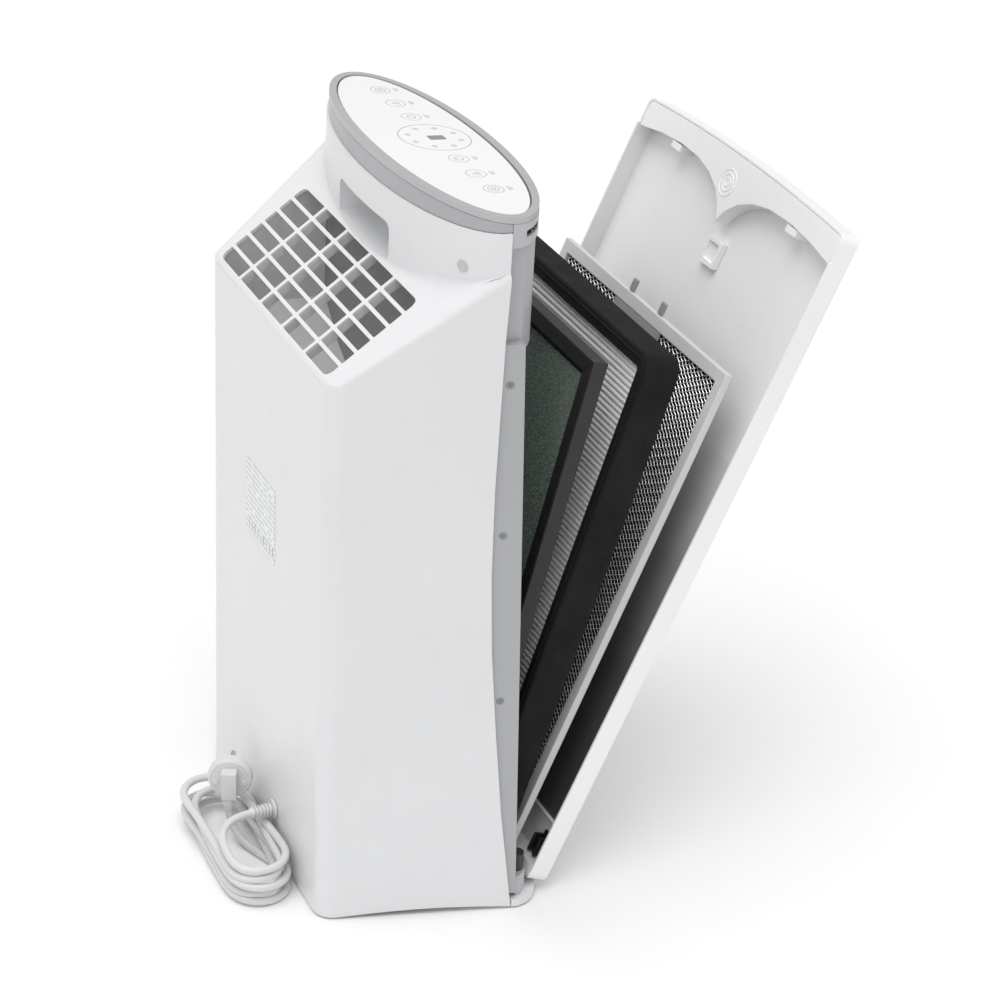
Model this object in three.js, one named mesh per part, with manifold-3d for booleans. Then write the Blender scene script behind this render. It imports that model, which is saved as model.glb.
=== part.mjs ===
// Tower air purifier, stood with its front cover tipped open.
// Millimetres, +Z up, front towards -Y.
import * as THREE from 'three';
import { mergeVertices } from 'three/addons/utils/BufferGeometryUtils.js';
import Module from 'manifold-3d';

const wasm = await Module();
wasm.setup();

// ---------------------------------------------------------------- driving dimensions
const GAP = 0.3;                 // air left between neighbouring solids
const BACK_Y = 134.5;            // outer back face
const BACK_HALF = 136;           // half width of the back face, at its sharp corners
const FLARE = Math.tan(15 * Math.PI / 180);   // sides open towards the front
const WALL = 2.6;                // shell wall
const BACK_CORNER_R = 18;        // upright back corners
const SHOULDER_Z = 503;          // where the slanted shoulder leaves the back face
const SLOPE_DEG = 35.3;          // shoulder slope above the horizontal
const EDGE_R = 11;               // rounding along the shoulder's edges
const HEAD_Y = -2;               // middle of the oval head
const NECK_A = 169;              // half length of the oval neck
const NECK_B = 58;               // half depth of the oval neck
const BAND_A = 167;              // half length of the silver band
const BAND_B = 56;               // half depth of the silver band
const TOP_Z = 637.5;             // panel plane height at the head's middle
const TOP_TILT = Math.tan(4.5 * Math.PI / 180);     // panel falls towards the front
const BAND_LOW_Z = 626;          // band's lower edge height at the head's middle
const BAND_LOW_TILT = Math.tan(-5.6 * Math.PI / 180);   // it falls towards the back
const HEAD_FRONT_LOW = 612.6;    // lower edge of the grey front half of the band
const FLOOR_GAP = 2;             // shell's corners above the floor
const ARCH = 3.5;                // rise of the arched lower edge
const GRILLE_COLS = 5;
const GRILLE_ROWS = 6;
const GRILLE_HALF = 121;         // half width of the exhaust grille
const GRILLE_S0 = 4.5;           // first opening, measured up the slope
const GRILLE_LEN = 91;           // grille length up the slope
const RIB_ALONG = 4.0;           // ribs that run up the slope
const RIB_ACROSS = 3.2;          // ribs that run across
const CHASSIS_BACK_Y = 30;
const CHASSIS_FRONT_LOW = -29;   // chassis front edge at its foot
const CHASSIS_LEAN = 0.036;      // the front edge leans back by this much per mm of height
const CHASSIS_Z0 = 14;
const CHASSIS_TOP = 612;
const BLOCK_Z = 524;             // underside of the block below the head
const CAVITY_Z0 = 22;
const CAVITY_Z1 = 518;
const COVER_HALF = 168;
const COVER_LEN = 622;           // length of the cover's sides
const COVER_ARCH = 6;            // extra length in the middle of its arched top edge
const COVER_CORNER_R = 9;
const CROWN_Y = -2.5;            // crown's inner face, just below the edge walls' rims
const COVER_T = 20.6;            // depth of the cover's edge walls
const COVER_WALL = 2.4;
const COVER_TILT = 23.2;         // open lean, degrees forward of upright
const COVER_FOOT = [-44.5, 14.5];          // y, z of the open cover's rear bottom edge
const FILTER_LEN = 477;
const PRE_HALF = 149;
const PRE_T = 7;
const PRE_TILT = 22.1;
const PRE_PIVOT = [-30, 24];
const HEPA_HALF = 155;
const HEPA_T = 33;
const HEPA_TILT = 16.8;
const HEPA_PIVOT = [-9, 35];
const CARBON_HALF = 151;
const CARBON_T = 13.5;
const CARBON_TILT = 13;
const CARBON_PIVOT = [17.6, 32];
const FAN_Z = 262;               // fan axis height
const IMPELLER_R = 96;
const IMPELLER_LEN = 52;
const CORD_D = 7;

// constant shift that puts the open unit's box over the origin
const SHIFT_Y = 74.4;

// ---------------------------------------------------------------- materials
const mat = (color, roughness, metalness = 0) =>
  new THREE.MeshStandardMaterial({ color, roughness, metalness });
const WHITE = mat(0xf0f1f2, 0.35);
const PALE_GREY = mat(0xc9cbcd, 0.45);
const SILVER = mat(0xa9abad, 0.35, 0.3);
const MID_GREY = mat(0x8b8d90, 0.5);
const DARK_GREY = mat(0x3a3b3d, 0.6);
const BLACK = mat(0x141415, 0.8);
const METAL = mat(0xb8babd, 0.35, 1);
const GREEN_GREY = mat(0x59645c, 0.95);
const PURPLE_GREY = mat(0x4c4a50, 0.7);
const PLEAT_WHITE = mat(0xe6e7e6, 0.9);
const BOARD_GREEN = mat(0x1f5b3a, 0.6);
const CORD_WHITE = mat(0xe4e5e5, 0.5);

// ---------------------------------------------------------------- solids
function solid(geometry) {
  let g = geometry.clone();
  g.deleteAttribute('normal');
  g.deleteAttribute('uv');
  g = mergeVertices(g, 1e-4);
  return new wasm.Manifold(new wasm.Mesh({
    numProp: 3,
    vertProperties: new Float32Array(g.attributes.position.array),
    triVerts: new Uint32Array(g.index.array),
  }));
}

function geometryOf(m) {
  const mesh = m.getMesh();
  const g = new THREE.BufferGeometry();
  const points = new Float32Array(mesh.numVert * 3);
  for (let i = 0; i < mesh.numVert; i += 1) {
    for (let k = 0; k < 3; k += 1) {
      points[3 * i + k] = mesh.vertProperties[mesh.numProp * i + k];
    }
  }
  g.setAttribute('position', new THREE.BufferAttribute(points, 3));
  g.setIndex(new THREE.BufferAttribute(new Uint32Array(mesh.triVerts), 1));
  return g;
}

const moved = (g, x = 0, y = 0, z = 0) => g.translate(x, y, z);

// box from its two opposite corners
function block(x0, x1, y0, y1, z0, z1) {
  const g = new THREE.BoxGeometry(x1 - x0, y1 - y0, z1 - z0);
  return solid(moved(g, (x0 + x1) / 2, (y0 + y1) / 2, (z0 + z1) / 2));
}

function shapeOf(points) {
  const s = new THREE.Shape();
  points.forEach(([x, y], i) => (i ? s.lineTo(x, y) : s.moveTo(x, y)));
  s.closePath();
  return s;
}

// plan outline (x, y) raised from z0 to z1
function prismZ(points, z0, z1) {
  const g = new THREE.ExtrudeGeometry(shapeOf(points), { depth: z1 - z0, bevelEnabled: false });
  return solid(moved(g, 0, 0, z0));
}

// side outline (y, z) drawn from x0 to x1
function prismX(points, x0, x1) {
  const g = new THREE.ExtrudeGeometry(shapeOf(points), { depth: x1 - x0, bevelEnabled: false });
  g.rotateX(Math.PI / 2);
  g.rotateZ(Math.PI / 2);
  return solid(moved(g, x0, 0, 0));
}

// front outline (x, z) drawn from y0 to y1
function prismY(points, y0, y1) {
  const g = new THREE.ExtrudeGeometry(shapeOf(points), { depth: y1 - y0, bevelEnabled: false });
  g.rotateX(Math.PI / 2);
  return solid(moved(g, 0, y1, 0));
}

function rod(axis, r, from, to, a, b, sides = 20) {
  const g = new THREE.CylinderGeometry(r, r, to - from, sides);
  const mid = (from + to) / 2;
  if (axis === 'x') return solid(moved(g.rotateZ(Math.PI / 2), mid, a, b));
  if (axis === 'y') return solid(moved(g, a, mid, b));
  return solid(moved(g.rotateX(Math.PI / 2), a, b, mid));
}

// everything on the outer side of the plane n.p = d is cut away
function cutPlane(m, n, d) {
  const size = 1600;
  const v = new THREE.Vector3(...n).normalize();
  const g = new THREE.BoxGeometry(size, size, size);
  g.translate(0, 0, size / 2);
  g.applyQuaternion(new THREE.Quaternion().setFromUnitVectors(new THREE.Vector3(0, 0, 1), v));
  g.translate(v.x * d, v.y * d, v.z * d);
  return m.subtract(solid(g));
}

// rounds the straight edge between planes n1.p = d1 and n2.p = d2 with k flats
function roundEdge(m, n1, d1, n2, d2, r, k) {
  const a = new THREE.Vector3(...n1).normalize();
  const b = new THREE.Vector3(...n2).normalize();
  const c = a.dot(b);
  const p = ((d1 - r) - (d2 - r) * c) / (1 - c * c);
  const q = ((d2 - r) - (d1 - r) * c) / (1 - c * c);
  const centre = a.clone().multiplyScalar(p).add(b.clone().multiplyScalar(q));
  let out = m;
  for (let i = 1; i <= k; i += 1) {
    const n = a.clone().lerp(b, i / (k + 1)).normalize();
    out = cutPlane(out, [n.x, n.y, n.z], n.dot(centre) + r);
  }
  return out;
}

// polygon with its corners rounded; radii may differ from corner to corner
function rounded(points, radii, steps = 4) {
  const out = [];
  const n = points.length;
  for (let i = 0; i < n; i += 1) {
    const r = Array.isArray(radii) ? radii[i] : radii;
    const p = new THREE.Vector2(...points[i]);
    if (r <= 0) {
      out.push(points[i]);
      continue;
    }
    const u = new THREE.Vector2(...points[(i + n - 1) % n]).sub(p).normalize();
    const v = new THREE.Vector2(...points[(i + 1) % n]).sub(p).normalize();
    const half = Math.acos(u.dot(v)) / 2;
    const reach = r / Math.tan(half);
    const c = u.clone().add(v).normalize().multiplyScalar(r / Math.sin(half)).add(p);
    const s = u.clone().multiplyScalar(reach).add(p);
    const e = v.clone().multiplyScalar(reach).add(p);
    const a0 = Math.atan2(s.y - c.y, s.x - c.x);
    let da = Math.atan2(e.y - c.y, e.x - c.x) - a0;
    if (da > Math.PI) da -= 2 * Math.PI;
    if (da < -Math.PI) da += 2 * Math.PI;
    for (let k = 0; k <= steps; k += 1) {
      const t = a0 + da * k / steps;
      out.push([c.x + r * Math.cos(t), c.y + r * Math.sin(t)]);
    }
  }
  return out;
}

function oval(a, b, cy = HEAD_Y, n = 56) {
  return Array.from({ length: n }, (_, i) => {
    const t = 2 * Math.PI * (i + 0.5) / n;
    return [a * Math.cos(t), cy + b * Math.sin(t)];
  });
}

const rect = (x0, x1, y0, y1) => [[x0, y0], [x1, y0], [x1, y1], [x0, y1]];

// ---------------------------------------------------------------- scene
const unit = new THREE.Group();
unit.name = 'air_purifier';
unit.position.set(0, SHIFT_Y, 0);

function add(name, m, material, parent = unit) {
  const mesh = new THREE.Mesh(m.isBufferGeometry ? m : geometryOf(m), material);
  mesh.name = name;
  parent.add(mesh);
  return mesh;
}

const sideX = (y, inset = 0) => BACK_HALF + (BACK_Y - y) * FLARE - inset * Math.hypot(1, FLARE);
const slopeRad = SLOPE_DEG * Math.PI / 180;
const slopeN = [0, Math.sin(slopeRad), Math.cos(slopeRad)];
const slopeD = slopeN[1] * BACK_Y + slopeN[2] * SHOULDER_Z;
const topPlaneN = [0, -TOP_TILT, 1];
const planeD = (n, y, z) => (n[1] * y + n[2] * z) / Math.hypot(...n);
const bandN = [0, -BAND_LOW_TILT, 1];
const bandD = planeD(bandN, HEAD_Y, BAND_LOW_Z);

// ---------------------------------------------------------------- rear shell
// front edge of the shell's sides, an S drawn as (y, z)
const EDGE_CURVE = [[-26, -1], [-20, 45], [-13, 100], [-5, 180], [2, 260], [5.5, 330],
  [6.5, 410], [5.5, 480], [4.5, 540], [2.5, 590], [2, 660]];

function shellBody(inset) {
  const back = BACK_Y - inset;
  const bx = sideX(back, inset);
  const front = -60;
  const fx = sideX(front, inset);
  const r = BACK_CORNER_R - inset;
  const plan = rounded([[-fx, front], [fx, front], [bx, back], [-bx, back]], [0, 0, r, r], 6);
  let m = prismZ(plan, inset ? -5 : FLOOR_GAP, 700);
  m = cutPlane(m, slopeN, slopeD - inset);
  const sideN = Math.hypot(1, FLARE);
  const sideD = (BACK_HALF + BACK_Y * FLARE) / sideN - inset;
  const edge = EDGE_R - inset;
  m = roundEdge(m, [0, 1, 0], back, slopeN, slopeD - inset, edge, 3);
  for (const s of [-1, 1]) {
    m = roundEdge(m, [s, FLARE, 0], sideD, slopeN, slopeD - inset, edge, 3);
  }
  const neck = prismZ(oval(NECK_A - inset, NECK_B - inset), 480, 660);
  const all = m.add(neck);
  return cutPlane(all, bandN, bandD - (inset ? -5 : GAP));
}

const frontZone = prismX([...EDGE_CURVE, [-200, 660], [-200, -1]], -260, 260);

function rearShell() {
  let m = shellBody(0);
  // carry-handle pocket in the back of the neck: a hollow box inside the neck
  const pocketHalf = 52;
  const pocketZ0 = 561;
  const pocketZ1 = 594;
  const pocketY = 24;
  const inner = shellBody(WALL);
  let cavity = inner;
  const pocketWall = block(-pocketHalf - WALL, pocketHalf + WALL, pocketY - WALL, 80,
    pocketZ0 - WALL, pocketZ1 + WALL);
  cavity = cavity.subtract(pocketWall);
  m = m.subtract(cavity);
  m = m.subtract(prismY(rounded([[-pocketHalf, pocketZ0], [pocketHalf, pocketZ0],
    [pocketHalf, pocketZ1], [-pocketHalf, pocketZ1]], 7, 3), pocketY, 90));
  m = m.subtract(frontZone);
  // arched lower edge
  const arch = [];
  for (let i = 0; i <= 10; i += 1) {
    const y = -30 + 150 * i / 10;
    arch.push([y, FLOOR_GAP + ARCH * Math.sin(Math.PI * i / 10)]);
  }
  m = m.subtract(prismX([[-30, -2], ...arch, [120, -2]], -260, 260));
  // exhaust openings
  const pitchX = (2 * GRILLE_HALF + RIB_ALONG) / GRILLE_COLS;
  const pitchS = (GRILLE_LEN + RIB_ACROSS) / GRILLE_ROWS;
  const holes = new THREE.Group();
  holes.rotation.x = -slopeRad;
  for (let i = 0; i < GRILLE_COLS; i += 1) {
    for (let j = 0; j < GRILLE_ROWS; j += 1) {
      const x0 = -GRILLE_HALF + i * pitchX;
      const s0 = GRILLE_S0 + j * pitchS;
      const cell = rect(x0, x0 + pitchX - RIB_ALONG, s0, s0 + pitchS - RIB_ACROSS);
      const corners = [
        i === 0 && j === 0, i === GRILLE_COLS - 1 && j === 0,
        i === GRILLE_COLS - 1 && j === GRILLE_ROWS - 1, i === 0 && j === GRILLE_ROWS - 1,
      ].map((c) => (c ? 6 : 1));
      const shape = shapeOf(rounded(cell, corners, 2));
      const g = new THREE.ExtrudeGeometry(shape, { depth: 24, bevelEnabled: false });
      g.translate(0, 0, -12);
      // (x, s, n) -> slope frame: s runs up and forward, n is the outward normal
      const m4 = new THREE.Matrix4().makeBasis(
        new THREE.Vector3(-1, 0, 0),
        new THREE.Vector3(0, -Math.cos(slopeRad), Math.sin(slopeRad)),
        new THREE.Vector3(...slopeN),
      );
      g.applyMatrix4(m4);
      g.translate(0, BACK_Y, SHOULDER_Z);
      m = m.subtract(solid(g));
    }
  }
  // round recess on each side of the neck, for the assembly screw
  for (const s of [-1, 1]) {
    m = m.subtract(rod('x', 4.5, s > 0 ? 120 : -200, s > 0 ? 200 : -120, 30, 592, 16));
  }
  // cord outlet
  m = m.subtract(rod('y', 6.4, 120, 150, -30, 46, 20));
  return m;
}
add('rear_shell', rearShell(), WHITE);


// ---------------------------------------------------------------- front chassis
const chassisN = [0, -1, CHASSIS_LEAN];
const chassisD = (-CHASSIS_FRONT_LOW + CHASSIS_LEAN * 60) / Math.hypot(1, CHASSIS_LEAN);
const INLET_R = 78;

function frontChassis() {
  const y0 = -60;
  const side = (y) => sideX(y, WALL + 0.6);
  const plan = [[-side(y0), y0], [side(y0), y0], [side(CHASSIS_BACK_Y), CHASSIS_BACK_Y],
    [-side(CHASSIS_BACK_Y), CHASSIS_BACK_Y]];
  let m = cutPlane(prismZ(plan, CHASSIS_Z0, BLOCK_Z + 10), chassisN, chassisD);
  const inner = (y) => side(y) - 2.6;
  const yb = CHASSIS_BACK_Y - 2.5;
  const cavity = [[-inner(-70), -70], [inner(-70), -70], [inner(yb), yb],
    [-inner(yb), yb]];
  m = m.subtract(prismZ(cavity, CAVITY_Z0, CAVITY_Z1));
  // block under the head, hollow from behind
  const blockPlan = rounded(rect(-163, 163, -27, 22), [16, 16, 0, 0], 5);
  const inHead = prismZ(oval(NECK_A - WALL - 0.6, NECK_B - WALL - 0.6), BLOCK_Z - 1, 640);
  let upper = prismZ(blockPlan, BLOCK_Z, CHASSIS_TOP).intersect(inHead);
  upper = cutPlane(upper, bandN, bandD - GAP);
  m = m.add(upper);
  m = m.subtract(block(-134, 134, -24, CHASSIS_BACK_Y + 5, BLOCK_Z + 4, CHASSIS_TOP - 8));
  // air inlet through the back wall
  m = m.subtract(rod('y', INLET_R, 20, 40, 0, FAN_Z, 40));
  // notch for the safety switch's plunger
  m = m.subtract(block(118, 124, -40, -20, BLOCK_Z + 30, BLOCK_Z + 36));
  return m;
}
add('front_chassis', frontChassis(), PALE_GREY);

// ---------------------------------------------------------------- head
const head = new THREE.Group();
head.name = 'head';
head.position.set(0, HEAD_Y, TOP_Z);
head.rotation.x = Math.atan(TOP_TILT);
unit.add(head);
const RIM_H = 5;
const ringOf = (a0, b0, a1, b1, z0, z1) =>
  prismZ(oval(a0, b0), z0, z1).subtract(prismZ(oval(a1, b1), z0 - 1, z1 + 1));
const SEAM_Y = 1.5;              // the band's silver half ends at the shell's front edge

function bandRing() {
  const m = ringOf(BAND_A, BAND_B, BAND_A - 3, BAND_B - 3, 580, 670);
  return cutPlane(m, topPlaneN, planeD(topPlaneN, HEAD_Y, TOP_Z) - RIM_H - GAP);
}
add('trim_band', cutPlane(bandRing(), bandN.map((v) => -v), -bandD)
  .intersect(block(-200, 200, SEAM_Y + GAP / 2, 200, 500, 700)), SILVER);
let headFront = bandRing()
  .intersect(block(-200, 200, -200, SEAM_Y - GAP / 2, HEAD_FRONT_LOW, 700));
// latch slot on each side
for (const s of [-1, 1]) {
  headFront = headFront.subtract(block(s * 157 - 11, s * 157 + 11, -27, -11, 619.5, 625));
}
add('head_front', headFront, PALE_GREY);
const local = (a, b, z0, z1) => prismZ(oval(a, b, 0), z0, z1);
add('top_rim', local(BAND_A, BAND_B, -RIM_H, 0)
  .subtract(local(BAND_A - 7, BAND_B - 7, -RIM_H - 1, 1)), MID_GREY, head);
const WINDOW_AT = [8, -9.5];     // middle of the display window
const windowShape = (hx, hy) => rounded(rect(WINDOW_AT[0] - hx, WINDOW_AT[0] + hx,
  WINDOW_AT[1] - hy, WINDOW_AT[1] + hy), 1, 2);
add('touch_panel', local(BAND_A - 8.2, BAND_B - 8.2, -4, -0.8)
  .subtract(prismZ(windowShape(4.9, 7.2), -1.8, 0)), WHITE, head);
add('display_window', prismZ(windowShape(4.6, 6.9), -1.5, -0.9), DARK_GREY, head);
add('head_deck', local(BAND_A - 4.6, BAND_B - 4.6, -8, -RIM_H - GAP)
  .subtract(local(BAND_A - 40, BAND_B - 18, -9, 0)), MID_GREY, head);
add('control_board', prismZ(rounded(rect(-120, 120, -32, 32), 4, 1), -10, -8.3), BOARD_GREEN,
  head);

// ---------------------------------------------------------------- base
const BASE_TOP = 8;
const LIP_HALF = 55;            // raised lip that keeps the cover's foot in place
function baseTray() {
  const half = [[-118, 121], [-sideX(-10, 3.4), -12], [-sideX(-26.6), -26.6], [-180.4, -32],
    [-178, -42], [-171, -51], [-158, -58], [-120, -66.5], [-60, -72]];
  const plan = [...half, [0, -74], ...half.slice().reverse().map(([x, y]) => [-x, y])];
  const inside = prismZ([[-sideX(-18, WALL + 0.5), -18], [sideX(-18, WALL + 0.5), -18],
    [sideX(125, WALL + 0.5), 125], [-sideX(125, WALL + 0.5), 125]], 0, 20);
  let m = prismZ(plan, 2, BASE_TOP);
  m = m.intersect(inside.add(block(-250, 250, -100, -26.4, 0, 20))
    .add(prismZ([[-173.6, -27], [173.6, -27], [172.6, -17], [-172.6, -17]], 0, 20)));
  const lip = [[-LIP_HALF, -71.4], [0, -73.6], [LIP_HALF, -71.4], [LIP_HALF, -68.8], [0, -71],
    [-LIP_HALF, -68.8]];
  m = m.add(prismZ(lip, BASE_TOP - 1, 13));
  return m;
}
add('base_tray', baseTray(), WHITE);
// raised step in front of the chassis, behind the cover's foot; its ends are higher still
const STEP_TOP = 20;
const STEP_Y = -44;
const EAR_TOP = 28;
const EAR_X = 152;              // the ends start here, clear of the prefilter's foot
const POST_X = 161;
const POST_Y = -37.6;
const POST_R = 6.2;
const POST_TOP = 45;
function trayStep() {
  const plan = [[-174, -31.4], [174, -31.4], [172.5, -37], [166, STEP_Y], [-166, STEP_Y],
    [-172.5, -37]];
  return prismZ(plan, BASE_TOP + GAP, EAR_TOP)
    .subtract(block(-EAR_X, EAR_X, -60, 0, STEP_TOP, EAR_TOP + 1));
}
add('tray_step', trayStep(), PALE_GREY);
const FEET = [[-112, 108], [112, 108], [-140, -30], [140, -30]];
FEET.forEach(([x, y], i) => add(`foot_${i + 1}`, rod('z', 9, 0, 1.7, x, y, 16), DARK_GREY));
for (const s of [-1, 1]) {
  const side = s < 0 ? 'left' : 'right';
  add(`stop_post_${side}`, rod('z', POST_R, EAR_TOP + GAP, POST_TOP, s * POST_X, POST_Y, 20),
    DARK_GREY);
}

// ---------------------------------------------------------------- fan
const BACK_IN = BACK_Y - WALL;
const HOUSE_Y0 = 36;
const HOUSE_Y1 = BACK_IN - 1;
function scroll(inset, z1) {
  const out = [];
  const r0 = 108;
  for (let i = 0; i <= 20; i += 1) {
    const t = i / 20;
    const a = Math.PI * (1 + t);
    const r = r0 + 18 * t - inset;
    out.push([r * Math.cos(a), FAN_Z + r * Math.sin(a)]);
  }
  out.push([126 - inset, z1]);
  out.push([-126 + inset, z1]);
  out.push([-126 + inset, FAN_Z + 130]);
  return out;
}
const underSlope = (m, d) => cutPlane(m, slopeN, slopeD - WALL - d);
let house = prismY(scroll(0, 600), HOUSE_Y0, HOUSE_Y1)
  .subtract(prismY(scroll(2.5, 700), HOUSE_Y0 - 1, HOUSE_Y1 - 2.5));
house = underSlope(house, 1.5).intersect(block(-200, 200, 0, 200, 0, 575));
house = house.subtract(block(-116, 116, HOUSE_Y1 - 4, 200, 470, 600));
house = house.subtract(rod('y', 12, 100, 150, 0, FAN_Z, 16));
// tongue that parts the outlet from the wheel
const TONGUE = [[124.5, 457], [90, 425], [40, 395], [-10, 378], [-45, 372]];
house = house.add(prismY([...TONGUE, ...TONGUE.slice().reverse().map(([x, z]) => [x, z - 2.6])],
  HOUSE_Y0, HOUSE_Y1 - 2));
add('scroll_housing', house, PALE_GREY);
const mouth = underSlope(prismY(scroll(0, 600), CHASSIS_BACK_Y + 2.8, HOUSE_Y0 - GAP), 1.5)
  .intersect(block(-200, 200, 0, 200, 0, 545)).subtract(rod('y', 72, 20, 50, 0, FAN_Z, 40));
add('inlet_plate', mouth, MID_GREY);

function impeller() {
  const y0 = 44;
  const y1 = y0 + IMPELLER_LEN;
  let m = rod('y', IMPELLER_R, y1 - 2.5, y1, 0, FAN_Z, 40);
  m = m.add(rod('y', IMPELLER_R, y0, y0 + 2.5, 0, FAN_Z, 40)
    .subtract(rod('y', IMPELLER_R - 16, y0 - 1, y0 + 4, 0, FAN_Z, 40)));
  for (let i = 0; i < 28; i += 1) {
    const g = new THREE.BoxGeometry(1.6, IMPELLER_LEN - 2, 15);
    g.rotateY(0.5);
    g.translate(0, (y0 + y1) / 2, IMPELLER_R - 8);
    g.rotateY(2 * Math.PI * i / 28);
    g.translate(0, 0, FAN_Z);
    m = m.add(solid(g));
  }
  m = m.intersect(rod('y', IMPELLER_R, y0, y1, 0, FAN_Z, 40));
  m = m.add(rod('y', 20, y1 - 30, y1, 0, FAN_Z, 20));
  return m.subtract(rod('y', 4.05, y0 - 5, y1 + 5, 0, FAN_Z, 12));
}
add('impeller', impeller(), DARK_GREY);
add('fan_shaft', rod('y', 4, 72, 112, 0, FAN_Z, 12), METAL);
add('fan_motor', rod('y', 38, 98, HOUSE_Y1 - 2.5 - GAP, 0, FAN_Z, 28)
  .subtract(rod('y', 4.05, 90, 114, 0, FAN_Z, 12)), METAL);

function guard() {
  const y0 = CHASSIS_BACK_Y - 2.2;
  const y1 = CHASSIS_BACK_Y;
  let m = rod('y', 10, y0, y1, 0, FAN_Z, 24);
  for (const r of [77.6, 55, 33]) {
    m = m.add(rod('y', r, y0, y1, 0, FAN_Z, 36).subtract(rod('y', r - 2, y0 - 1, y1 + 1, 0,
      FAN_Z, 36)));
  }
  for (let i = 0; i < 4; i += 1) {
    const g = new THREE.BoxGeometry(153, y1 - y0, 2.2);
    g.rotateY(Math.PI * i / 4);
    g.translate(0, (y0 + y1) / 2, FAN_Z);
    m = m.add(solid(g));
  }
  return m;
}
add('inlet_guard', guard(), PALE_GREY);

// ---------------------------------------------------------------- electrics
add('power_board', block(-100, 20, 62, 64, 30, 96), BOARD_GREEN);
add('ionizer', block(70, 104, 70, 92, 60, 84), BLACK);
add('switch_body', block(108, 130, -21, -6, BLOCK_Z + 22, BLOCK_Z + 44)
  .subtract(rod('y', 2.2, -25, -7.5, 121, BLOCK_Z + 33, 12)), BLACK);
add('switch_plunger', rod('y', 2, -33, -12, 121, BLOCK_Z + 33, 12), WHITE);
add('rating_label', prismY(rounded(rect(-24, 46, 286, 356), 2, 1), BACK_Y + 0.05,
  BACK_Y + 0.35), PALE_GREY);

// ---------------------------------------------------------------- filters
function tilted(name, [y, z], degrees) {
  const g = new THREE.Group();
  g.name = name;
  g.position.set(0, y, z);
  g.rotation.x = degrees * Math.PI / 180;
  unit.add(g);
  return g;
}
const frameOf = (half, t, w, length, r = 0) => {
  const outer = rounded([[-half, 0], [half, 0], [half, length], [-half, length]], r, 3);
  const inner = [[-half + w, w], [half - w, w], [half - w, length - w], [-half + w, length - w]];
  return prismY(outer, -t / 2, t / 2).subtract(prismY(inner, -t, t));
};

const pre = tilted('prefilter', PRE_PIVOT, PRE_TILT);
add('prefilter_frame', frameOf(PRE_HALF, PRE_T, 11, FILTER_LEN), SILVER, pre);
add('prefilter_mesh', block(-PRE_HALF + 11.2, PRE_HALF - 11.2, -0.6, 0.6, 11.2,
  FILTER_LEN - 11.2), METAL, pre);
add('prefilter_plate', block(-41, 41, 0.9, 3, FILTER_LEN - 42, FILTER_LEN - 11.3), MID_GREY, pre);
for (const s of [-1, 1]) {
  add(`prefilter_tab_${s < 0 ? 'left' : 'right'}`, block(s * 26 - 4, s * 26 + 4, -1.5, 1.5,
    FILTER_LEN + GAP, FILTER_LEN + 12), MID_GREY, pre);
}

const hepa = tilted('hepa_filter', HEPA_PIVOT, HEPA_TILT);
const hepaFrame = frameOf(HEPA_HALF, HEPA_T, 14, FILTER_LEN, [4, 4, 14, 14]);
add('hepa_gasket', hepaFrame, BLACK, hepa);
function pleats() {
  const half = HEPA_HALF - 14.4;
  const n = 36;
  const z0 = 14.4;
  const z1 = FILTER_LEN - 14.4;
  const front = [];
  const back = [];
  for (let i = 0; i <= 2 * n; i += 1) {
    const z = z0 + (z1 - z0) * i / (2 * n);
    const y = i % 2 ? 13 : -11;
    front.push([y - 1.6, z]);
    back.push([y + 1.6, z]);
  }
  return prismX([...front, ...back.reverse()], -half, half);
}
add('hepa_pleats', pleats(), PLEAT_WHITE, hepa);

const carbon = tilted('carbon_filter', CARBON_PIVOT, CARBON_TILT);
add('carbon_frame', frameOf(CARBON_HALF, CARBON_T, 12, FILTER_LEN), PURPLE_GREY, carbon);
add('carbon_border', frameOf(CARBON_HALF - 12.3, 9, 5, FILTER_LEN - 24.6).translate([0, 0, 12.3]),
  BLACK, carbon);
add('carbon_sheet', block(-CARBON_HALF + 17.6, CARBON_HALF - 17.6, -3.5, 3.5, 17.6,
  FILTER_LEN - 17.6), GREEN_GREY, carbon);

// ---------------------------------------------------------------- front cover
const coverGroup = tilted('cover', COVER_FOOT, COVER_TILT);

// cover outline (x, z) drawn in by inset, with its top edge arched
function coverOutline(inset, bottom, bottomR) {
  const half = COVER_HALF - inset;
  const arch = [];
  for (let i = 1; i < 12; i += 1) {
    const x = half - 2 * half * i / 12;
    arch.push([x, COVER_LEN - inset + COVER_ARCH * (1 - (x / half) ** 2)]);
  }
  const top = COVER_LEN - inset;
  const points = [[-half, bottom], [half, bottom], [half, top], ...arch, [-half, top]];
  const r = COVER_CORNER_R - inset;
  return rounded(points, [bottomR, bottomR, r, ...arch.map(() => 0), r], 4);
}

function coverPanel() {
  let m = prismY(coverOutline(0, 0, 12), -COVER_T, 0);
  const round = 4;
  m = roundEdge(m, [0, -1, 0], COVER_T, [1, 0, 0], COVER_HALF, round, 2);
  m = roundEdge(m, [0, -1, 0], COVER_T, [-1, 0, 0], COVER_HALF, round, 2);
  m = roundEdge(m, [0, -1, 0], COVER_T, [0, 0, -1], 0, 9, 3);
  m = roundEdge(m, [0, 1, 0], 0, [0, 0, -1], 0, 9, 3);
  const inner = prismY(coverOutline(COVER_WALL, COVER_WALL, 10), -COVER_T + COVER_WALL, 5);
  m = m.subtract(inner.intersect(block(-200, 200, -30, 10, 16, 700)));
  return m.subtract(block(-200, 200, CROWN_Y + GAP, 5, 597, 700));
}
add('cover_panel', coverPanel(), WHITE, coverGroup);

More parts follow.
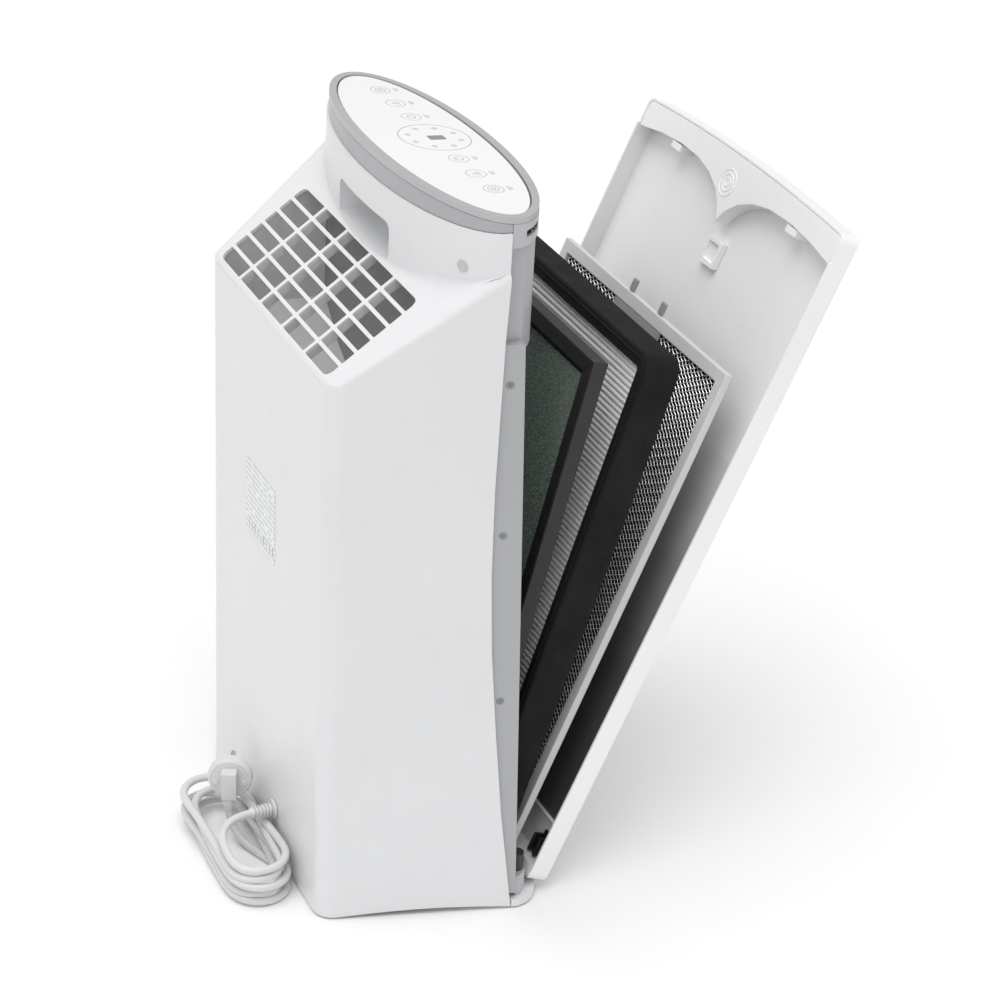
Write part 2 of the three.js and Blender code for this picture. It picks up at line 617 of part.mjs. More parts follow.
// the crown's lower edge, one half of its V: (x, z)
const RIDGE = [[0, 566], [7, 578], [20, 589], [38, 597], [62, 602], [95, 603], [130, 600]];
function coverCrown() {
  const half = COVER_HALF - COVER_WALL - GAP;
  const right = [...RIDGE, [half, 594]];
  const left = right.slice(1).reverse().map(([x, z]) => [-x, z]);
  const low = [...left, ...right, [half, 700], [-half, 700]];
  const y0 = -COVER_T + COVER_WALL + GAP;
  return prismY(low, y0, CROWN_Y)
    .intersect(prismY(coverOutline(COVER_WALL + GAP, 0, 0), y0 - 1, CROWN_Y + 1));
}
add('cover_crown', coverCrown(), WHITE, coverGroup);
for (const s of [-1, 1]) {
  add(`cover_clip_${s < 0 ? 'left' : 'right'}`, block(s * 100 - 8, s * 100 + 8,
    -COVER_T + COVER_WALL + GAP, CROWN_Y - 0.5, 595.5, 601.6), WHITE, coverGroup);
}
add('cover_boss', block(-12, 12, -COVER_T + COVER_WALL + GAP, -12, 528, 552).subtract(
  block(-8, 8, -15, 0, 532, 548)), WHITE, coverGroup);

// ---------------------------------------------------------------- fixings
// plugs that close the screw recesses in the neck's sides
for (const s of [-1, 1]) {
  const side = s < 0 ? 'left' : 'right';
  add(`neck_cap_${side}`, rod('x', 4.2, s > 0 ? 132 : -138, s > 0 ? 138 : -132, 30, 592, 16),
    WHITE);
}

// ---------------------------------------------------------------- cord
const CORD_R = CORD_D / 2;
const GLAND_X = -30;
const GLAND_Z = 46;
const GLAND_END = BACK_Y + 24;   // tip of the cord's strain relief
const relief = rod('y', 6, 128, BACK_Y + 1, GLAND_X, GLAND_Z, 16)
  .add(rod('y', 8.5, BACK_Y + GAP, BACK_Y + 3, GLAND_X, GLAND_Z, 16))
  .add(rod('y', 5, BACK_Y + 2, GLAND_END, GLAND_X, GLAND_Z, 16));
add('cord_gland', relief, CORD_WHITE);

// centre line of the free stretch, from the strain relief down to the hank
const CORD_PATH = [
  [-30, 159, 46], [-30.3, 165, 45.8], [-32, 172, 44.8], [-36.5, 179.5, 43], [-43.5, 185.5, 40.6],
  [-52, 188.8, 38.2], [-61, 189.5, 37],
];
function tube(points, r, sides, steps) {
  const curve = new THREE.CatmullRomCurve3(points.map((p) => new THREE.Vector3(...p)));
  const circle = shapeOf(Array.from({ length: sides }, (_, i) => {
    const a = 2 * Math.PI * i / sides;
    return [r * Math.cos(a), r * Math.sin(a)];
  }));
  return solid(new THREE.ExtrudeGeometry(circle, { steps, extrudePath: curve,
    bevelEnabled: false }));
}
add('cord', tube(CORD_PATH, CORD_R, 10, 12), CORD_WHITE);

// outer shape of the bundled spare cord, lying behind the back face
const HANK = { x0: -103, x1: 56, y0: 143, y1: 193, z0: 0.3, z1: 33 };
const hankPlan = rounded(rect(HANK.x0, HANK.x1, HANK.y0, HANK.y1), 24.5, 6);
add('cord_hank', prismZ(hankPlan, HANK.z0, HANK.z1), CORD_WHITE);

// mains plug on top of the hank: its disc stands upright, its boot points down
const DISC_R = 19.5;
const DISC_Z = 28;               // disc's middle above the hank
const DISC_X = [4, 15];          // disc's two faces along the pins' direction
const PIN_END = 34;
const plug = new THREE.Group();
plug.name = 'plug_group';
plug.position.set(0, 166, HANK.z1 + GAP);
plug.rotation.z = -25.8 * Math.PI / 180;
add('plug', (() => {
  const boot = [[0, 0], [4.4, 0], [6.4, 16], [0, 16]].map(([x, y]) => new THREE.Vector2(x, y));
  const g = new THREE.LatheGeometry(boot, 20);
  return solid(g.rotateX(Math.PI / 2))
    .add(block(-6.4, DISC_X[0] + 1, -6.6, 6.6, 12, DISC_Z + 12))
    .add(rod('x', DISC_R, ...DISC_X, 0, DISC_Z, 36));
})(), CORD_WHITE, plug);
for (const s of [-1, 1]) {
  add(`plug_pin_${s < 0 ? 'a' : 'b'}`, rod('x', 2.4, DISC_X[1] + GAP, PIN_END, 0,
    DISC_Z + s * 9.5, 12), METAL, plug);
}
unit.add(plug);

export default unit;
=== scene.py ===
import bmesh
import bpy
import math
from mathutils import Matrix, Vector, noise


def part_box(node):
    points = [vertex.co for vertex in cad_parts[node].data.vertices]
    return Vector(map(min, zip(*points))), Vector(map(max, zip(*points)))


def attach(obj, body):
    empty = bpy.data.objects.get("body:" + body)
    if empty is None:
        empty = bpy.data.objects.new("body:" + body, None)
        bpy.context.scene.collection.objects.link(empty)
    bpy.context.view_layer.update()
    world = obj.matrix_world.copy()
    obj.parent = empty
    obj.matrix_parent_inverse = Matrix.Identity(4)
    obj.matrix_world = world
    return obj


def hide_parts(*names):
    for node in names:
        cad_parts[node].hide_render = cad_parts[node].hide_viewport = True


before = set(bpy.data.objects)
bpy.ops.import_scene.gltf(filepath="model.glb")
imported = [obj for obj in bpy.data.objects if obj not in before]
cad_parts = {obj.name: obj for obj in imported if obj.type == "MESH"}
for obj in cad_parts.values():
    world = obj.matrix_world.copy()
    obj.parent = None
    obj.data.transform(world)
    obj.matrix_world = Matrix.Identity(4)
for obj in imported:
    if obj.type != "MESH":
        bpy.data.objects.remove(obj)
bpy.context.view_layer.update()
MM = 0.001

# ---------------------------------------------------------------- frame of reference
# Design millimetres (floor at z 0, y 0 near the head's middle) to the row frame.
BACK_Y = 134.5
Y_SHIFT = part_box("rear_shell")[1][1] / MM - BACK_Y


def P(x, y, z):
    """A design point in the row frame."""
    return Vector((x * MM, (y + Y_SHIFT) * MM, z * MM))


def design_frame():
    """Matrix from design millimetres to the row frame."""
    return Matrix.Translation(P(0, 0, 0)) @ Matrix.Scale(MM, 4)


# ---------------------------------------------------------------- camera
CAM_SENSOR = 36.0
CAM_LENS = 94.97
cam_data = bpy.data.cameras.new("camera")
cam_data.sensor_width = CAM_SENSOR
cam_data.lens = CAM_LENS
camera = bpy.data.objects.new("camera", cam_data)
bpy.context.scene.collection.objects.link(camera)
CAM_AT = P(-1803.1, 801.1, 1391.6)
CAM_RIGHT = Vector((-0.4149, -0.9085, 0.0492))
CAM_UP = Vector((0.4538, -0.1597, 0.8767))
CAM_BACK = Vector((-0.7886, 0.3860, 0.4786))
turn = Matrix((CAM_RIGHT, CAM_UP, CAM_BACK)).transposed().to_4x4()
camera.matrix_world = Matrix.Translation(CAM_AT) @ turn
cam_data.clip_start = 0.05
cam_data.clip_end = 60.0
bpy.context.scene.camera = camera


# ---------------------------------------------------------------- materials
class Nodes:
    """Short names for building one material's node tree."""

    def __init__(self, name):
        self.mat = bpy.data.materials.new(name)
        self.mat.use_nodes = True
        self.tree = self.mat.node_tree
        self.bsdf = self.tree.nodes["Principled BSDF"]
        self.coord = self.tree.nodes.new("ShaderNodeTexCoord").outputs["Object"]

    def new(self, kind, **values):
        """A new node of that kind with the given settings."""
        node = self.tree.nodes.new(kind)
        for key, value in values.items():
            setattr(node, key, value)
        return node

    def link(self, a, b):
        self.tree.links.new(a, b)

    def noise(self, scale, detail=3.0, rough=0.55, stretch=None):
        """Noise over the object, drawn out along its axes by stretch."""
        tex = self.new("ShaderNodeTexNoise")
        tex.inputs["Scale"].default_value = scale
        tex.inputs["Detail"].default_value = detail
        tex.inputs["Roughness"].default_value = rough
        if stretch is None:
            self.link(self.coord, tex.inputs["Vector"])
        else:
            mapping = self.new("ShaderNodeMapping")
            mapping.inputs["Scale"].default_value = stretch
            self.link(self.coord, mapping.inputs["Vector"])
            self.link(mapping.outputs["Vector"], tex.inputs["Vector"])
        return tex.outputs["Fac"]

    def ramp(self, fac, stops):
        """Colours blended from stop to stop: stops is a list of (position, colour)."""
        node = self.new("ShaderNodeValToRGB")
        el = node.color_ramp.elements
        while len(el) < len(stops):
            el.new(0.5)
        for e, (pos, col) in zip(el, stops):
            e.position = pos
            e.color = (*col, 1.0)
        self.link(fac, node.inputs["Fac"])
        return node.outputs["Color"]

    def span(self, fac, low, high, a=0.3, b=0.7):
        """The value carried from the span a to b over to the span low to high."""
        node = self.new("ShaderNodeMapRange")
        node.inputs["From Min"].default_value = a
        node.inputs["From Max"].default_value = b
        node.inputs["To Min"].default_value = low
        node.inputs["To Max"].default_value = high
        self.link(fac, node.inputs["Value"])
        return node.outputs["Result"]

    def mix(self, fac, a, b, kind="MIX"):
        """Colour a turned into colour b by fac; each may be a value or a socket."""
        node = self.new("ShaderNodeMix", data_type="RGBA", blend_type=kind)
        for socket, value in ((node.inputs[0], fac), (node.inputs[6], a), (node.inputs[7], b)):
            if isinstance(value, (int, float)):
                socket.default_value = value
            elif isinstance(value, tuple):
                socket.default_value = (*value, 1.0)
            else:
                self.link(value, socket)
        return node.outputs[2]

    def bump(self, height, strength, distance, below=None):
        """Surface relief, laid over the relief below where one is given."""
        node = self.new("ShaderNodeBump")
        node.inputs["Strength"].default_value = strength
        node.inputs["Distance"].default_value = distance
        self.link(height, node.inputs["Height"])
        if below is not None:
            self.link(below, node.inputs["Normal"])
        return node.outputs["Normal"]


def shade(c, k):
    """Colour c made lighter or darker by the factor k."""
    return tuple(max(0.0, min(1.0, v * k)) for v in c)


def plastic(name, rgb, rough, vary=0.03, grain=900.0, bump=0.15, depth=0.00012, metal=0.0,
            coat=0.0, spread=0.05, specular=0.5):
    """Moulded plastic: faint tone drift, patchy gloss, fine spark-eroded grain."""
    n = Nodes(name)
    drift = n.noise(9.0, 4.0)
    colour = n.ramp(drift, [(0.3, shade(rgb, 1.0 - vary)), (0.7, shade(rgb, 1.0 + vary))])
    dust = n.noise(60.0, 5.0, 0.7)
    colour = n.mix(n.span(dust, 0.0, 0.25, 0.55, 0.8), colour, shade(rgb, 0.88))
    n.link(colour, n.bsdf.inputs["Base Color"])
    n.link(n.span(n.noise(28.0, 5.0, 0.65), rough - spread, rough + spread),
           n.bsdf.inputs["Roughness"])
    fine = n.bump(n.noise(grain, 2.0), bump, depth)
    n.link(n.bump(n.noise(35.0, 2.0), 0.06, 0.0006, fine), n.bsdf.inputs["Normal"])
    n.bsdf.inputs["Metallic"].default_value = metal
    n.bsdf.inputs["Specular IOR Level"].default_value = specular
    if coat:
        n.bsdf.inputs["Coat Weight"].default_value = coat
        n.bsdf.inputs["Coat Roughness"].default_value = 0.12
    return n.mat


def brushed(name, rgb, rough, stretch=(1.0, 1.0, 60.0)):
    """Bare metal with fine streaks across the stretched axis."""
    n = Nodes(name)
    streak = n.noise(40.0, 4.0, 0.6, stretch)
    n.link(n.ramp(streak, [(0.3, shade(rgb, 0.85)), (0.7, shade(rgb, 1.1))]),
           n.bsdf.inputs["Base Color"])
    n.link(n.span(streak, rough - 0.07, rough + 0.1), n.bsdf.inputs["Roughness"])
    n.link(n.bump(streak, 0.15, 0.0001), n.bsdf.inputs["Normal"])
    n.bsdf.inputs["Metallic"].default_value = 1.0
    return n.mat


def foam(name, rgb, cell=1400.0):
    """Dull open-cell foam."""
    n = Nodes(name)
    vor = n.new("ShaderNodeTexVoronoi")
    vor.inputs["Scale"].default_value = cell
    n.link(n.coord, vor.inputs["Vector"])
    d = vor.outputs["Distance"]
    n.link(n.ramp(d, [(0.1, shade(rgb, 0.5)), (0.6, shade(rgb, 1.6))]),
           n.bsdf.inputs["Base Color"])
    n.link(n.span(n.noise(30.0), 0.75, 0.95), n.bsdf.inputs["Roughness"])
    n.link(n.bump(n.noise(90.0, 3.0), 0.3, 0.0008, n.bump(d, 0.6, 0.0004)),
           n.bsdf.inputs["Normal"])
    n.bsdf.inputs["Specular IOR Level"].default_value = 0.25
    return n.mat


def granules(name, rgb):
    """Carbon granules seen through a fine net: pale specks on grey green."""
    n = Nodes(name)
    speck = n.noise(900.0, 3.0, 0.8)
    patch = n.noise(14.0, 4.0)
    base = n.ramp(speck, [(0.38, shade(rgb, 0.3)), (0.5, rgb), (0.62, shade(rgb, 2.6))])
    n.link(n.mix(n.span(patch, 0.0, 0.35), base, shade(rgb, 1.5)), n.bsdf.inputs["Base Color"])
    n.link(n.span(speck, 0.65, 0.95), n.bsdf.inputs["Roughness"])
    n.link(n.bump(speck, 0.8, 0.0006, n.bump(n.noise(25.0), 0.25, 0.002)),
           n.bsdf.inputs["Normal"])
    n.bsdf.inputs["Specular IOR Level"].default_value = 0.3
    return n.mat


def fibre(name, rgb):
    """Matted filter paper with a faint sheen."""
    n = Nodes(name)
    thread = n.noise(500.0, 4.0, 0.7, (0.15, 1.0, 1.0))
    cloud = n.noise(25.0, 4.0)
    n.link(n.mix(n.span(cloud, 0.0, 0.5), n.ramp(thread, [(0.3, shade(rgb, 0.86)), (0.7, rgb)]),
                 shade(rgb, 0.93)), n.bsdf.inputs["Base Color"])
    n.link(n.span(thread, 0.8, 0.97), n.bsdf.inputs["Roughness"])
    n.link(n.bump(thread, 0.35, 0.0003), n.bsdf.inputs["Normal"])
    n.bsdf.inputs["Sheen Weight"].default_value = 0.15
    return n.mat


WHITE = plastic("white_abs", (0.785, 0.79, 0.80), 0.36, 0.015, coat=0.15)
COVER_WHITE = plastic("white_cover", (0.93, 0.935, 0.94), 0.36, 0.015, 700.0, 0.12, coat=0.05)
PALE = plastic("pale_grey_abs", (0.50, 0.505, 0.515), 0.34, 0.02, coat=0.1)
SILVER = plastic("silver_paint", (0.42, 0.425, 0.435), 0.36, 0.02, 1600.0, 0.2, metal=0.35)
RIM = plastic("rim_grey", (0.48, 0.485, 0.495), 0.34, 0.02, 1200.0, 0.15, metal=0.25)
CHASSIS = plastic("chassis_grey_abs", (0.43, 0.435, 0.445), 0.34, 0.02, coat=0.1)
CAP = plastic("cap_grey", (0.56, 0.565, 0.57), 0.4, 0.03)
MID = plastic("mid_grey_abs", (0.27, 0.275, 0.28), 0.5, 0.04)
DARK = plastic("dark_grey_abs", (0.035, 0.036, 0.038), 0.45, 0.08)
BLACK = plastic("black_abs", (0.012, 0.012, 0.013), 0.5, 0.1)
PANEL = plastic("panel_gloss", (0.93, 0.935, 0.94), 0.16, 0.008, 300.0, 0.02, coat=0.6)
GLASS = plastic("window_smoke", (0.20, 0.205, 0.215), 0.12, 0.03, 300.0, 0.03, coat=0.8)
PRINT = plastic("print_grey", (0.42, 0.43, 0.44), 0.45, 0.04)
FILTER_GREY = plastic("filter_frame_grey", (0.64, 0.645, 0.65), 0.40, 0.03)
PLATE = plastic("plate_grey", (0.30, 0.305, 0.30), 0.5, 0.04)
DUCT = plastic("duct_grey", (0.90, 0.905, 0.91), 0.45, 0.03)
DUCT_DARK = plastic("duct_dark", (0.38, 0.38, 0.385), 0.5, 0.05)
CARBON_FRAME = plastic("carbon_frame_grey", (0.034, 0.032, 0.037), 0.5, 0.06,
                       specular=0.25)
BOARD = plastic("board_green", (0.02, 0.12, 0.05), 0.4, 0.08)
RUBBER = plastic("foot_rubber", (0.02, 0.02, 0.021), 0.75, 0.1, 1500.0, 0.4)
CORD = plastic("cord_pvc", (0.68, 0.685, 0.68), 0.42, 0.03, 600.0, 0.1)
PLUG = plastic("plug_pvc", (0.70, 0.705, 0.70), 0.38, 0.03, 700.0, 0.2)
STEEL = brushed("turned_steel", (0.60, 0.61, 0.62), 0.3)
ALU = brushed("expanded_aluminium", (0.90, 0.91, 0.92), 0.32, (30.0, 1.0, 1.0))
FOAM = foam("gasket_foam", (0.007, 0.007, 0.008))
CARBON = granules("carbon_granules", (0.150, 0.184, 0.158))
PLEAT = fibre("pleat_fibre", (0.86, 0.865, 0.86))


# ---------------------------------------------------------------- mesh helpers
SHARP = math.radians(38)


def link_mesh(name, mesh, mat, body, nodes=()):
    """Puts a mesh in the scene on its body, standing for the given CAD nodes."""
    obj = bpy.data.objects.new(name, mesh)
    bpy.context.scene.collection.objects.link(obj)
    mesh.materials.clear()
    mesh.materials.append(mat)
    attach(obj, body)
    if nodes:
        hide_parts(*nodes)
    return obj


def from_bm(bm, name, mat, body, nodes=(), smooth=True):
    """A scene piece from a bmesh, shaded smooth between its sharp edges."""
    for edge in bm.edges:
        if not edge.is_manifold or edge.calc_face_angle(0.0) > SHARP:
            edge.smooth = False
    mesh = bpy.data.meshes.new(name)
    bm.to_mesh(mesh)
    bm.free()
    for poly in mesh.polygons:
        poly.use_smooth = smooth
    return link_mesh(name, mesh, mat, body, nodes)


def soften(obj, width, segments=2, angle=35.0):
    """Rounds an object's sharp edges by width millimetres."""
    bev = obj.modifiers.new("edges", "BEVEL")
    bev.width = width * MM
    bev.segments = segments
    bev.limit_method = "ANGLE"
    bev.angle_limit = math.radians(angle)
    bev.use_clamp_overlap = True
    bev.miter_outer = "MITER_ARC"
    weighted = obj.modifiers.new("normals", "WEIGHTED_NORMAL")
    weighted.keep_sharp = True
    return obj


def node_bm(node, leave=None):
    """A working copy of a CAD node's mesh in the row frame, with its flat faces joined up.

    Faces square to the direction leave keep their triangles: they have openings in them."""
    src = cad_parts[node]
    bm = bmesh.new()
    bm.from_mesh(src.data)
    bmesh.ops.transform(bm, matrix=src.matrix_world, verts=bm.verts)
    bmesh.ops.remove_doubles(bm, verts=bm.verts, dist=0.00002)
    bm.normal_update()
    kept = {e for e in bm.edges if leave is not None
            and all(abs(f.normal.dot(leave)) > 0.999 for f in e.link_faces)}
    fixed = {v for e in kept for v in e.verts}
    bmesh.ops.dissolve_limit(bm, angle_limit=math.radians(0.6),
                             verts=[v for v in bm.verts if v not in fixed],
                             edges=[e for e in bm.edges if e not in kept])
    return bm


def refine(node, mat, body, bevel=0.5, segments=2, angle=35.0, leave=None):
    """The CAD node with rounded edges and a finished surface."""
    obj = from_bm(node_bm(node, leave), "vis_" + node, mat, body, (node,))
    return soften(obj, bevel, segments, angle)


def grid_faces(bm, rings, closed_ring=True, closed_run=False):
    """Joins equal rows of vertices into a skin of quads."""
    n = len(rings[0])
    runs = len(rings) if closed_run else len(rings) - 1
    for i in range(runs):
        a, b = rings[i], rings[(i + 1) % len(rings)]
        for k in range(n if closed_ring else n - 1):
            m = (k + 1) % n
            bm.faces.new((a[k], a[m], b[m], b[k]))


def lathe(bm, profile, centre, axis, sides=40):
    """Closed turned solid: profile is (radius, distance along axis) from end to end."""
    axis = Vector(axis).normalized()
    side = axis.orthogonal().normalized()
    other = axis.cross(side)
    rings = []
    for r, h in profile:
        ring = []
        for k in range(sides):
            a = 2 * math.pi * k / sides
            at = centre + axis * (h * MM) + (side * math.cos(a) + other * math.sin(a)) * (r * MM)
            ring.append(bm.verts.new(at))
        rings.append(ring)
    grid_faces(bm, rings)
    bm.faces.new(list(reversed(rings[0])))
    bm.faces.new(rings[-1])


def sweep(bm, points, radius_at, sides=14):
    """Closed round tube along points; radius_at(i) is its radius at point i."""
    rings = []
    normal = None
    for i, p in enumerate(points):
        t = (points[min(i + 1, len(points) - 1)] - points[max(i - 1, 0)]).normalized()
        if normal is None:
            normal = t.orthogonal().normalized()
        normal = (normal - t * normal.dot(t)).normalized()
        other = t.cross(normal)
        r = radius_at(i)
        rings.append([bm.verts.new(p + (normal * math.cos(a) + other * math.sin(a)) * r)
                      for a in (2 * math.pi * k / sides for k in range(sides))])
    grid_faces(bm, rings)
    bm.faces.new(list(reversed(rings[0])))
    bm.faces.new(rings[-1])
    bmesh.ops.recalc_face_normals(bm, faces=bm.faces)


def box_into(bm, x0, x1, y0, y1, z0, z1, matrix=None):
    """Adds a box between the given millimetres, placed by matrix."""
    made = bmesh.ops.create_cube(bm, size=1.0)["verts"]
    for v in made:
        v.co = Vector((x0 + (v.co.x + 0.5) * (x1 - x0), y0 + (v.co.y + 0.5) * (y1 - y0),
                       z0 + (v.co.z + 0.5) * (z1 - z0)))
        v.co = matrix @ v.co if matrix else v.co * MM
    return made


def tilted(y, z, degrees):
    """Matrix from a leaning piece's own millimetres to the row frame."""
    return (Matrix.Translation(P(0, y, z)) @ Matrix.Rotation(math.radians(degrees), 4, "X")
            @ Matrix.Scale(MM, 4))


# ---------------------------------------------------------------- cord and plug
CORD_R = 3.5
EXIT_X, EXIT_Y, EXIT_Z = -30, 158.5, 46
BEND_Y = 163                    # middle of the lead's first bend
BEND_R = 29
HANK_X = (-108.0, 60.0)         # the bundle's outline, at rest on the floor
HANK_Y = (137.5, 199.5)
HANK_MID = Vector(((HANK_X[0] + HANK_X[1]) / 2, (HANK_Y[0] + HANK_Y[1]) / 2))
HANK_TOP = 36.0
HANK_LOW = 3.8
# radius of the track's two folds and half the length of its straight runs
FOLD_R = (HANK_Y[1] - HANK_Y[0]) / 2 - CORD_R - 3.0
RUN_HALF = (HANK_X[1] - HANK_X[0]) / 2 - CORD_R - FOLD_R - 4.0
FIRST_TURN = 0.155              # the lead joins the bundle this far round its track
TURNS = 4.66
STEPS_PER_TURN = 60
LEAN = 5.5                      # degrees by which alternate turns cross each other
SLIDE = 3.0                     # turns shift along the bundle by up to this much
DIP = 1.6                       # turns rise and fall by up to this much
PLUG_AT = Vector((0.0, 166.0, 33.3))


def track_point(turns):
    """A point on the bundle's oblong track, from the middle of its outer run."""
    fold = math.pi * FOLD_R
    d = (turns % 1.0) * (4 * RUN_HALF + 2 * fold)
    if d < RUN_HALF:
        return -d, FOLD_R
    if d < RUN_HALF + fold:
        a = (d - RUN_HALF) / FOLD_R
        return -RUN_HALF - FOLD_R * math.sin(a), FOLD_R * math.cos(a)
    if d < 3 * RUN_HALF + fold:
        return -RUN_HALF + d - RUN_HALF - fold, -FOLD_R
    if d < 3 * RUN_HALF + 2 * fold:
        a = (d - 3 * RUN_HALF - fold) / FOLD_R
        return RUN_HALF + FOLD_R * math.sin(a), -FOLD_R * math.cos(a)
    return RUN_HALF - (d - 3 * RUN_HALF - 2 * fold), FOLD_R


def hank_point(turns, z):
    """The track's point after that many turns, with the bundle's own looseness."""
    along, across = track_point(turns)
    lean = math.radians(LEAN) * math.sin(math.pi * (turns - 0.15))
    x = along * math.cos(lean) - across * math.sin(lean) + SLIDE * math.sin(2.3 * turns)
    y = along * math.sin(lean) + across * math.cos(lean)
    return Vector((HANK_MID.x + x, HANK_MID.y + y, z))


def cord_points():
    """Straight out of the strain relief, round one open bend, then down the bundle."""
    pts = [Vector((EXIT_X, EXIT_Y, EXIT_Z)), Vector((EXIT_X, EXIT_Y + 2.5, EXIT_Z))]
    for i in range(1, 9):
        a = math.radians(11.25 * i)
        pts.append(Vector((EXIT_X - BEND_R + BEND_R * math.cos(a),
                           BEND_Y + BEND_R * math.sin(a), EXIT_Z - 0.1 * i * i)))
    steps = int(TURNS * STEPS_PER_TURN)
    for i in range(steps + 1):
        f = i / steps
        turns = FIRST_TURN + (TURNS - FIRST_TURN) * f
        dip = DIP * math.sin(2 * math.pi * (turns * 1.5 + 0.1)) * min(1.0, 4 * f, 4 * (1 - f))
        z = HANK_TOP + (HANK_LOW - HANK_TOP) * min(1.0, f * 1.08)
        pts.append(hank_point(turns, max(HANK_LOW, z + dip)))
    return pts


# from the floor up into the plug's boot
RISE = [Vector(p) for p in ((-40, 148.5, 3.8), (-31, 150.5, 3.8), (-22.5, 154.5, 4.3),
                            (-15, 159, 6.2), (-8.8, 162.5, 10.2), (-4.2, 164.8, 16.2),
                            (-1.4, 166, 23.2), (-0.2, 166, 30.0), (0, 166, 36.0))]
raw = cord_points()
while raw[-1].x > RISE[0].x - 8.0 or raw[-1].y > HANK_MID.y:
    raw.pop()
raw += RISE


def smooth_line(points, passes):
    """The points drawn towards their neighbours, ends held."""
    pts = [p.copy() for p in points]
    for _ in range(passes):
        pts = [pts[0]] + [(pts[i - 1] + pts[i] * 2 + pts[i + 1]) / 4
                          for i in range(1, len(pts) - 1)] + [pts[-1]]
    return pts


route = [P(*p) for p in smooth_line(raw, 3)]
bm = bmesh.new()
sweep(bm, route, lambda i: CORD_R * MM, 16)
cord_obj = from_bm(bm, "mains_lead", CORD, "housing", ("cord", "cord_hank"))

# plug: upright disc, grip body behind it, ribbed boot below
DISC_Z = 28.0
PLUG_TURN = math.radians(-25.8)
PIN_GAP = 9.5                   # from the disc's middle to each pin
plug_m = Matrix.Translation(P(*PLUG_AT)) @ Matrix.Rotation(PLUG_TURN, 4, "Z")
plug_mm = plug_m @ Matrix.Scale(MM, 4)
pin_way = plug_m.to_3x3() @ Vector((1, 0, 0))
DISC = [(0.5, 4), (14.6, 4), (15.0, 4.4), (16.6, 4.4), (17.0, 4.1), (18.4, 4.5), (19.3, 5.6),
        (19.5, 7), (19.5, 9.2), (19.2, 9.5), (19.2, 10.1), (19.5, 10.4), (19.5, 13.6),
        (19.1, 14.6), (18.3, 15), (0.5, 15)]
RIVET = [(0.3, 2.9), (2.4, 2.9), (2.7, 3.3), (2.7, 4.6), (0.3, 4.6)]
PIN = [(0.4, 24.0), (2.35, 24.0), (2.35, 31.6), (2.0, 33.0), (1.3, 33.8), (0.4, 34.0)]
PIN_SLEEVE = [(0.4, 14.6), (2.4, 14.6), (2.4, 24.3), (2.3, 24.6), (0.4, 24.6)]


def boot_profile():
    """The ribbed boot under the grip: five ribs that widen upward."""
    profile = [(0.6, 0.3), (4.2, 0.3)]
    for i in range(5):
        z = 1.6 + i * 2.7
        r = 4.6 + 0.12 * z
        profile += [(r - 0.7, z - 0.6), (r - 0.7, z), (r + 0.1, z + 0.3), (r + 0.1, z + 1.7)]
    return profile + [(5.6, 14.6), (6.2, 15.4), (6.2, 16.4), (0.6, 16.6)]


bm = bmesh.new()
lathe(bm, DISC, plug_mm @ Vector((0, 0, DISC_Z)), pin_way, 56)
box_into(bm, -6.2, 5.0, -6.5, 6.5, 13.0, DISC_Z + 11.6, plug_mm)
lathe(bm, boot_profile(), P(*PLUG_AT), (0, 0, 1), 28)
for s in (-1, 1):
    lathe(bm, RIVET, plug_mm @ Vector((0, s * 12.4, DISC_Z - 3)), pin_way, 18)
plug_obj = from_bm(bm, "vis_plug", PLUG, "housing", ("plug",))
soften(plug_obj, 0.9, 3, 40)
for s, node in ((-1, "plug_pin_a"), (1, "plug_pin_b")):
    at = plug_mm @ Vector((0, 0, DISC_Z + s * PIN_GAP))
    bm = bmesh.new()
    lathe(bm, PIN, at, pin_way, 20)
    soften(from_bm(bm, "vis_" + node, STEEL, "housing", (node,)), 0.2)
    bm = bmesh.new()
    lathe(bm, PIN_SLEEVE, at, pin_way, 20)
    soften(from_bm(bm, "pin_sleeve_" + node[-1], PLUG, "housing"), 0.15)
bm = bmesh.new()
for s in (-1, 1):
    box_into(bm, 7.4, 15.2, s * 19.25 - 0.35, s * 19.25 + 0.35, DISC_Z - 2.6, DISC_Z + 2.6, plug_mm)
soften(from_bm(bm, "earth_clips", STEEL, "housing"), 0.25)


def relief_profile():
    """The strain relief: a collar, then six ribs that taper towards the lead."""
    profile = [(5.6, -6.0), (5.8, -5.6), (5.8, 0.4), (8.3, 0.5), (8.5, 0.9), (8.5, 2.4),
               (8.0, 3.0), (6.2, 3.2)]
    for i in range(6):
        y = 4.6 + i * 3.0
        r = 6.4 - 0.09 * (y - 3.0)
        profile += [(r - 1.6, y - 0.9), (r - 1.6, y), (r, y + 0.2), (r, y + 1.7)]
    return profile + [(4.2, 22.6), (4.1, 23.6), (3.9, 24.0)]


bm = bmesh.new()
lathe(bm, relief_profile(), P(EXIT_X, BACK_Y, EXIT_Z), (0, 1, 0), 32)
soften(from_bm(bm, "vis_cord_gland", CORD, "housing", ("cord_gland",)), 0.2)

